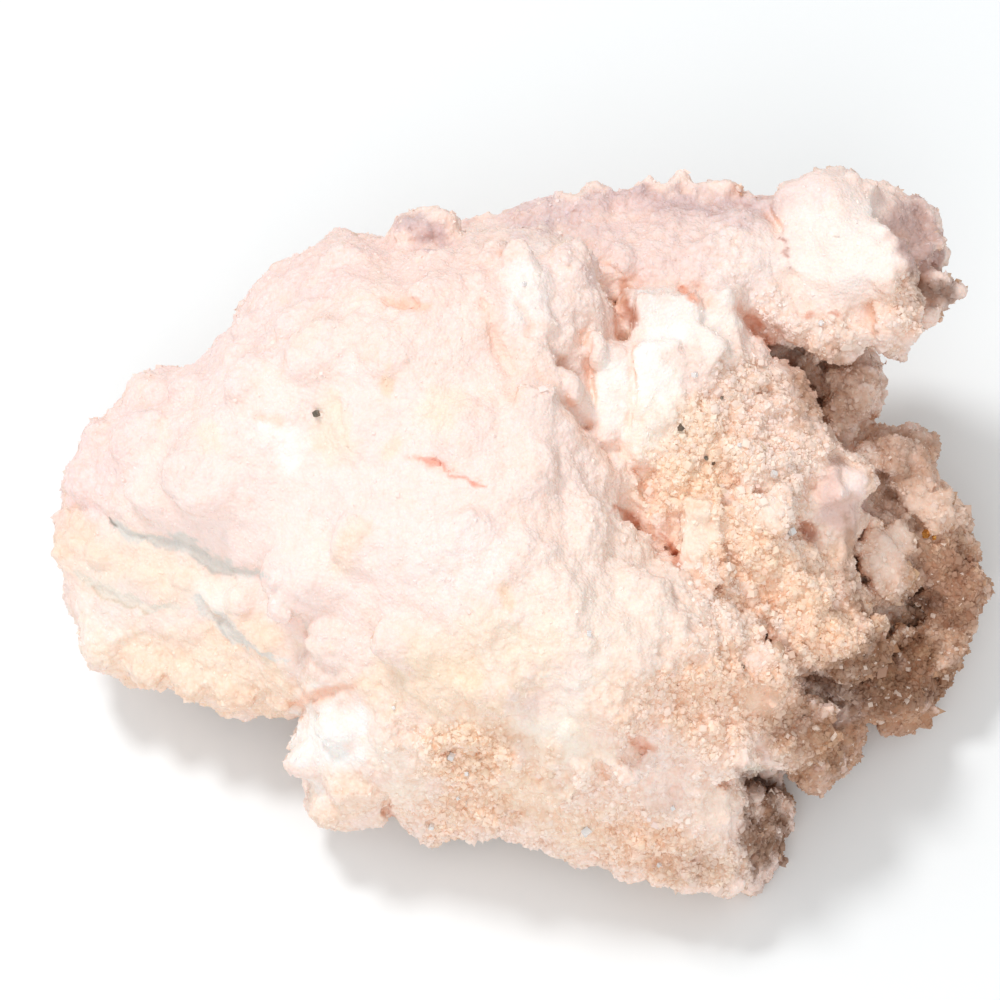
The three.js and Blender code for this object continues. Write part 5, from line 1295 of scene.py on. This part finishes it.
def strewn(spacing):
    """places on the surface, with the given spacing on each polygon: polygon, position"""
    count = np.floor(poly_a / spacing ** 2 * off_rest + rs.rand(len(sizes))).astype(int)
    pick = np.repeat(np.arange(len(sizes)), count)
    t = rs.rand(len(pick), 2)
    a, b = t[:, :1], t[:, 1:]
    return pick, A0[pick] * ((1 - a) * (1 - b)) + A1[pick] * (a * (1 - b)) + A2[pick] * (a * b) + A3[pick] * ((1 - a) * b)


def spread_colour(P, N, rr, surface_colour):
    c = surface_colour(P, N)
    chol = hollow(P, N)
    # painted shade: crystals deep in crevices get a warmer, darker colour, and then the painted shade and glow of the
    # lines on the face
    c = mixed(c, c * PAINTED_GAP_SHADE, smooth(0.45, 1.2, chol) * 0.7)
    c = paint_shade_seam_lines(P, c, g, face_top)
    n = len(P)
    c = c * (1 + rs.randn(n) * (0.008 + 0.038 * rr))[:, None] * (1 + rs.randn(n, 3) * np.array([0.003, 0.008, 0.014]) * (0.3 + rr)[:, None])
    pale = rs.rand(n) < 0.08 * rr
    c[pale] = mixed(c[pale], linear((252, 238, 226)), np.full(pale.sum(), 0.5))
    return np.clip(c, 0, 1)


def crystals(name, shape, faces, pick, pos, size, sink, lean, flat_share, surface_share):
    """small closed solids, in pieces of limited size; their shading follows the surface that they stand in for surface_share"""
    nrm, rr = NW[first[pick]], qr[pick]
    n = len(pick)
    axis = nrm + rs.randn(n, 3) * lean
    axis /= np.linalg.norm(axis, axis=1, keepdims=True)
    side = np.cross(axis, rs.randn(n, 3))
    side /= np.linalg.norm(side, axis=1, keepdims=True)
    third = np.cross(axis, side)
    stretch = np.exp(rs.randn(n, 3) * 0.15)
    loc = shape[None] * stretch[:, None, :] * (size * UNIT * 0.001)[:, None, None]
    verts = loc[..., 0:1] * side[:, None] + loc[..., 1:2] * third[:, None] + loc[..., 2:3] * axis[:, None]
    verts += (pos + nrm * (size * sink * UNIT * 0.001)[:, None])[:, None]
    ok = verts[..., 2].min(1) > 0.00004
    verts, nrm, rr, pick, pos = verts[ok], nrm[ok], rr[ok], pick[ok], pos[ok]
    n, k, mf_ = len(verts), shape.shape[0], faces.shape[1]
    ccol = spread_colour(to_layout(pos), dir_to_layout(nrm), rr, lambda p, q: growth(p, q)[0])
    cen = verts.mean(1, keepdims=True)
    vn = verts - cen
    vn /= np.linalg.norm(vn, axis=2, keepdims=True)
    vn = vn * (1 - surface_share) + nrm[:, None] * surface_share
    vn /= np.linalg.norm(vn, axis=2, keepdims=True)
    corner = vn[:, faces]
    q = verts[:, faces]
    fn = np.cross(q[:, :, 1] - q[:, :, 0], q[:, :, 2] - q[:, :, 0])
    fn /= np.linalg.norm(fn, axis=2, keepdims=True)
    plain_ = rs.rand(n) < flat_share
    corner = corner * 0.5 + fn[:, :, None] * 0.5
    corner /= np.linalg.norm(corner, axis=3, keepdims=True)
    corner = np.where(plain_[:, None, None, None], np.broadcast_to(fn[:, :, None], corner.shape), corner)
    tris = len(faces) * (mf_ - 2)
    out = []
    order = np.argsort(np.where(facing[pick] > 0.05, 0, 1000) + to_layout(pos)[:, 0], kind='stable')
    for i, sel in enumerate(np.array_split(order, max(1, math.ceil(n * tris / 190000)))):
        c = len(sel)
        polys = (faces[None] + k * np.arange(c)[:, None, None]).ravel()
        o = new_object('%s_%d' % (name, i + 1), verts[sel].reshape(-1, 3), polys, np.full(c * len(faces), mf_), np.repeat(ccol[sel], k, axis=0), smooth_faces=True)
        o.data.normals_split_custom_set(corner[sel].reshape(-1, 3).tolist())
        out.append(o)
    lap('%s: %d, %d triangles' % (name, n, n * tris))
    return out, n * tris


RING = [(math.cos(math.radians(q)), math.sin(math.radians(q))) for q in (0, 60, 120, 180, 240, 300)]
RHOMB = np.array([[0, 0, 0.92]] + [[x, y, 0.307 if i % 2 == 0 else -0.307] for i, (x, y) in enumerate(RING)] + [[0, 0, -0.92]])
RFACE = np.array([[0, 1, 2, 3], [0, 3, 4, 5], [0, 5, 6, 1], [7, 4, 3, 2], [7, 2, 1, 6], [7, 6, 5, 4]])
# a crystal's corner standing out of the surface
CORNER = np.array([[0, 0, 0.95], [1.30, 0, -0.75], [-0.65, 1.126, -0.75], [-0.65, -1.126, -0.75]])
CFACE = np.array([[0, 1, 2], [0, 2, 3], [0, 3, 1], [3, 2, 1]])
# the warmer, darker colour of painted shade in crevices
PAINTED_GAP_SHADE = np.array([0.95, 0.78, 0.68])

coarser = 1.0
pick, pos = strewn((6.0 + 16.0 * (1 - coarse)) * (1.0 + 0.75 * (1 - facing)) * coarser)
size = (2.1 + 0.6 * coarse[pick]) * (1.0 + 0.45 * (1 - facing[pick])) * np.exp(rs.randn(len(pick)) * 0.26)
size = np.where(rs.rand(len(pick)) < 0.03 * qr[pick], size * 1.6, size)
sink = -0.45 + 0.30 * coarse[pick] + rs.randn(len(pick)) * 0.2
druse, t1 = crystals('druse', RHOMB, RFACE, pick, pos, size, sink, 0.42, 0.22, 0.34)
pick, pos = strewn((4.1 + 3.6 * (1 - coarse)) * (1.0 + 0.95 * (1 - facing)) * coarser)
size = (1.75 + 0.35 * coarse[pick]) * (1.0 + 0.7 * (1 - facing[pick])) * np.exp(rs.randn(len(pick)) * 0.24)
sink = -0.42 + 0.30 * coarse[pick] + rs.randn(len(pick)) * 0.15
fine_druse, t2 = crystals('fine_druse', CORNER, CFACE, pick, pos, size, sink, 0.38, 0.15, 0.40)
druse += fine_druse
print('triangles: face %d, back %d, druse %d, all %d' % (nf, nb, t1 + t2, nf + nb + t1 + t2))


# ---- grains set in the surface ----
def surface_at(x, y):
    """the visible surface point of the sculpt at layout x, y, and its outward direction"""
    w = np.arange(240, -260, -1.0)
    P = np.stack([np.full_like(w, x), np.full_like(w, y), w], 1)
    f = g.at(P)
    i = int(np.argmax(f < 0))
    p = P[i]
    e = 4.0
    G = np.array([[g.at((p + d)[None])[0] - g.at((p - d)[None])[0] for d in np.eye(3) * e]])
    return p[None], G / (np.linalg.norm(G) + 1e-9)


def grain_mesh(kinds, name):
    import bmesh
    bm = bmesh.new()
    for x, y, r, kind in GRAINS:
        if kind not in kinds:
            continue
        p, nn = surface_at(x, y)
        c = to_world(p + nn * r * 0.75)[0]
        hull = bmesh.new()
        pts = []
        q = rs.randn(3)
        ax = np.linalg.qr(np.c_[dir_to_world(nn)[0] + q * 0.2, rs.randn(3, 2)])[0]
        if kind == 'clear':
            base = RHOMB * np.array([1, 1, 1.15])
        else:
            base = np.array([[i, j, k] for i in (-1, 1) for j in (-1, 1) for k in (-1, 1)]) * 0.66
            base = np.vstack([base * np.array([1, 1, 0.86]), rs.randn(8, 3) * 0.45])
        for b in base:
            d = (b * np.exp(rs.randn(3) * 0.07)) @ ax.T * r * UNIT * 0.001
            pts.append(hull.verts.new(tuple(c + d)))
        bmesh.ops.convex_hull(hull, input=pts)
        bmesh.ops.delete(hull, geom=[v for v in hull.verts if not v.link_faces], context='VERTS')
        bmesh.ops.recalc_face_normals(hull, faces=hull.faces)
        tmp = bpy.data.meshes.new('tmp')
        hull.to_mesh(tmp)
        hull.free()
        bm.from_mesh(tmp)
        bpy.data.meshes.remove(tmp)
    me = bpy.data.meshes.new(name)
    bm.to_mesh(me)
    bm.free()
    o = bpy.data.objects.new(name, me)
    bpy.context.scene.collection.objects.link(o)
    return o


dark = grain_mesh(('dark',), 'pyrite_grains')
gold = grain_mesh(('gold',), 'golden_grains')
clear = grain_mesh(('clear',), 'clear_grains')


# ---- materials ----
def node(nt, kind, **values):
    x = nt.nodes.new(kind)
    for k, v in values.items():
        setattr(x, k, v)
    return x


def material(name):
    m = bpy.data.materials.new(name)
    m.use_nodes = True
    nt = m.node_tree
    return m, nt, nt.nodes['Principled BSDF']


def carbonate(name, crystals):
    """milky pink carbonate: its colour grows with the surface, with fine cloudy variation, veils and sugar-grain relief"""
    m, nt, b = material(name)
    L = nt.links
    at = node(nt, 'ShaderNodeAttribute', attribute_name='growth')
    tc = node(nt, 'ShaderNodeTexCoord')
    cloud = node(nt, 'ShaderNodeTexNoise')
    cloud.inputs['Scale'].default_value = 420.0
    cloud.inputs['Detail'].default_value = 3.0
    L.new(tc.outputs['Object'], cloud.inputs['Vector'])
    ramp = node(nt, 'ShaderNodeMapRange')
    ramp.inputs['From Min'].default_value = 0.35
    ramp.inputs['From Max'].default_value = 0.68
    ramp.inputs['To Min'].default_value = 0.0
    ramp.inputs['To Max'].default_value = 0.34 if not crystals else 0.22
    L.new(cloud.outputs['Fac'], ramp.inputs['Value'])
    warm = node(nt, 'ShaderNodeMix', data_type='RGBA', blend_type='MULTIPLY')
    warm.inputs['B'].default_value = (0.985, 0.92, 0.88, 1)
    L.new(ramp.outputs['Result'], warm.inputs['Factor'])
    L.new(at.outputs['Color'], warm.inputs['A'])
    vor = node(nt, 'ShaderNodeTexVoronoi', feature='F1')
    vor.inputs['Scale'].default_value = 2600.0 if not crystals else 5200.0
    L.new(tc.outputs['Object'], vor.inputs['Vector'])
    veil = node(nt, 'ShaderNodeMapRange')
    veil.inputs['From Min'].default_value = 0.15
    veil.inputs['From Max'].default_value = 0.75
    veil.inputs['To Min'].default_value = 0.0
    veil.inputs['To Max'].default_value = 0.30 if not crystals else 0.12
    L.new(vor.outputs['Distance'], veil.inputs['Value'])
    edge = node(nt, 'ShaderNodeMix', data_type='RGBA', blend_type='MULTIPLY')
    edge.inputs['B'].default_value = (0.97, 0.89, 0.85, 1)
    L.new(veil.outputs['Result'], edge.inputs['Factor'])
    L.new(warm.outputs['Result'], edge.inputs['A'])
    L.new(edge.outputs['Result'], b.inputs['Base Color'])
    rn = node(nt, 'ShaderNodeMapRange')
    rn.inputs['To Min'].default_value = 0.34 if crystals else 0.50
    rn.inputs['To Max'].default_value = 0.62 if crystals else 0.72
    L.new(cloud.outputs['Fac'], rn.inputs['Value'])
    L.new(rn.outputs['Result'], b.inputs['Roughness'])
    b.inputs['IOR'].default_value = 1.5
    b.inputs['Specular IOR Level'].default_value = 0.42 if crystals else 0.3
    b.subsurface_method = 'RANDOM_WALK'
    b.inputs['Subsurface Weight'].default_value = 0.0 if crystals else 0.20
    b.inputs['Subsurface Radius'].default_value = (1.0, 0.55, 0.40)
    b.inputs['Subsurface Scale'].default_value = 0.00035 if crystals else 0.00045
    bump = node(nt, 'ShaderNodeBump')
    bump.inputs['Strength'].default_value = 0.45 if not crystals else 0.18
    bump.inputs['Distance'].default_value = 0.00022 if not crystals else 0.00006
    L.new(vor.outputs['Distance'], bump.inputs['Height'])
    bump.invert = True
    L.new(bump.outputs['Normal'], b.inputs['Normal'])
    return m


def metal(name, colour, tarnish, rough):
    m, nt, b = material(name)
    L = nt.links
    tc = node(nt, 'ShaderNodeTexCoord')
    ns = node(nt, 'ShaderNodeTexNoise')
    ns.inputs['Scale'].default_value = 3500.0
    L.new(tc.outputs['Object'], ns.inputs['Vector'])
    mx = node(nt, 'ShaderNodeMix', data_type='RGBA')
    mx.inputs['A'].default_value = (*linear(colour), 1)
    mx.inputs['B'].default_value = (*linear(tarnish), 1)
    L.new(ns.outputs['Fac'], mx.inputs['Factor'])
    L.new(mx.outputs['Result'], b.inputs['Base Color'])
    b.inputs['Metallic'].default_value = 0.85
    b.inputs['Roughness'].default_value = rough
    return m


mat_body = carbonate('kutnahorite_body', False)
mat_druse = carbonate('kutnahorite_druse', True)
mat_dark = metal('pyrite', (150, 138, 124), (92, 84, 76), 0.42)
mat_gold = metal('gilded_pyrite', (252, 204, 116), (206, 144, 74), 0.22)
mat_clear, nt, b = material('clear_crystal')
b.inputs['Base Color'].default_value = (1, 1, 1, 1)
b.inputs['Roughness'].default_value = 0.06
b.inputs['Transmission Weight'].default_value = 0.30
b.inputs['IOR'].default_value = 1.55

for o, m in [(q, mat_body) for q in face_parts] + [(back, mat_body), (dark, mat_dark), (gold, mat_gold), (clear, mat_clear)] + [(o, mat_druse) for o in druse]:
    o.data.materials.clear()
    o.data.materials.append(m)
    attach(o, 'root')
for o in face_parts + [back]:
    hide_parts('specimen')

# ---- floor, light and camera ----
def plane(name, size, z):
    s = size / 2
    return new_object(name, np.array([[-s, -s, z], [s, -s, z], [s, s, z], [-s, s, z]], float), np.arange(4), np.array([4]))


floor = plane('floor', 6.0, 0.0)
mf, nt, b = material('floor_white')
b.inputs['Base Color'].default_value = (0.905, 0.935, 0.948, 1)
b.inputs['Roughness'].default_value = 0.95
b.inputs['Specular IOR Level'].default_value = 0.1
floor.data.materials.append(mf)

world = bpy.data.worlds.new('studio')
bpy.context.scene.world = world
world.use_nodes = True
world.node_tree.nodes['Background'].inputs['Color'].default_value = (1.0, 0.995, 0.99, 1)
world.node_tree.nodes['Background'].inputs['Strength'].default_value = 0.62


def soft_light(name, toward, distance, size, share, colour=(1, 1, 1)):
    """an area light; share is the brightness that it gives a white surface that faces it"""
    from mathutils import Vector
    d = Vector(toward).normalized()
    la = bpy.data.lights.new(name, 'AREA')
    la.shape = 'DISK'
    la.size = size
    la.energy = share * math.pi ** 2 * distance ** 2
    la.color = colour
    o = bpy.data.objects.new(name, la)
    bpy.context.scene.collection.objects.link(o)
    o.location = Vector((0, 0, 0.02)) + d * distance
    o.rotation_euler = d.to_track_quat('Z', 'Y').to_euler()
    return o


def camera_axes(x, y, z):
    """a direction given along the camera's right, up and towards-the-viewer axes"""
    return (x, y * SIN - z * COS, y * COS + z * SIN)


soft_light('key', camera_axes(-0.34, 0.66, 0.66), 0.60, 0.13, 0.40)
soft_light('front', camera_axes(-0.10, -0.28, 1.0), 0.80, 0.50, 0.30)

cam = bpy.data.cameras.new('camera')
cam.sensor_width = 36.0
cam.lens = 129.6
cam.clip_start = 0.02
cam.clip_end = 20.0
co_ = bpy.data.objects.new('camera', cam)
bpy.context.scene.collection.objects.link(co_)
co_.location = tuple(to_world(np.array([[500.0, 500.0, 0.0]]))[0] + np.array([0, -TAPER * COS, TAPER * SIN]) * UNIT * 0.001)
co_.rotation_euler = (math.radians(90) - TILT, 0, 0)
bpy.context.scene.camera = co_
bpy.context.scene.view_settings.view_transform = 'Standard'
bpy.context.scene.view_settings.look = 'None'

bpy.context.view_layer.update()
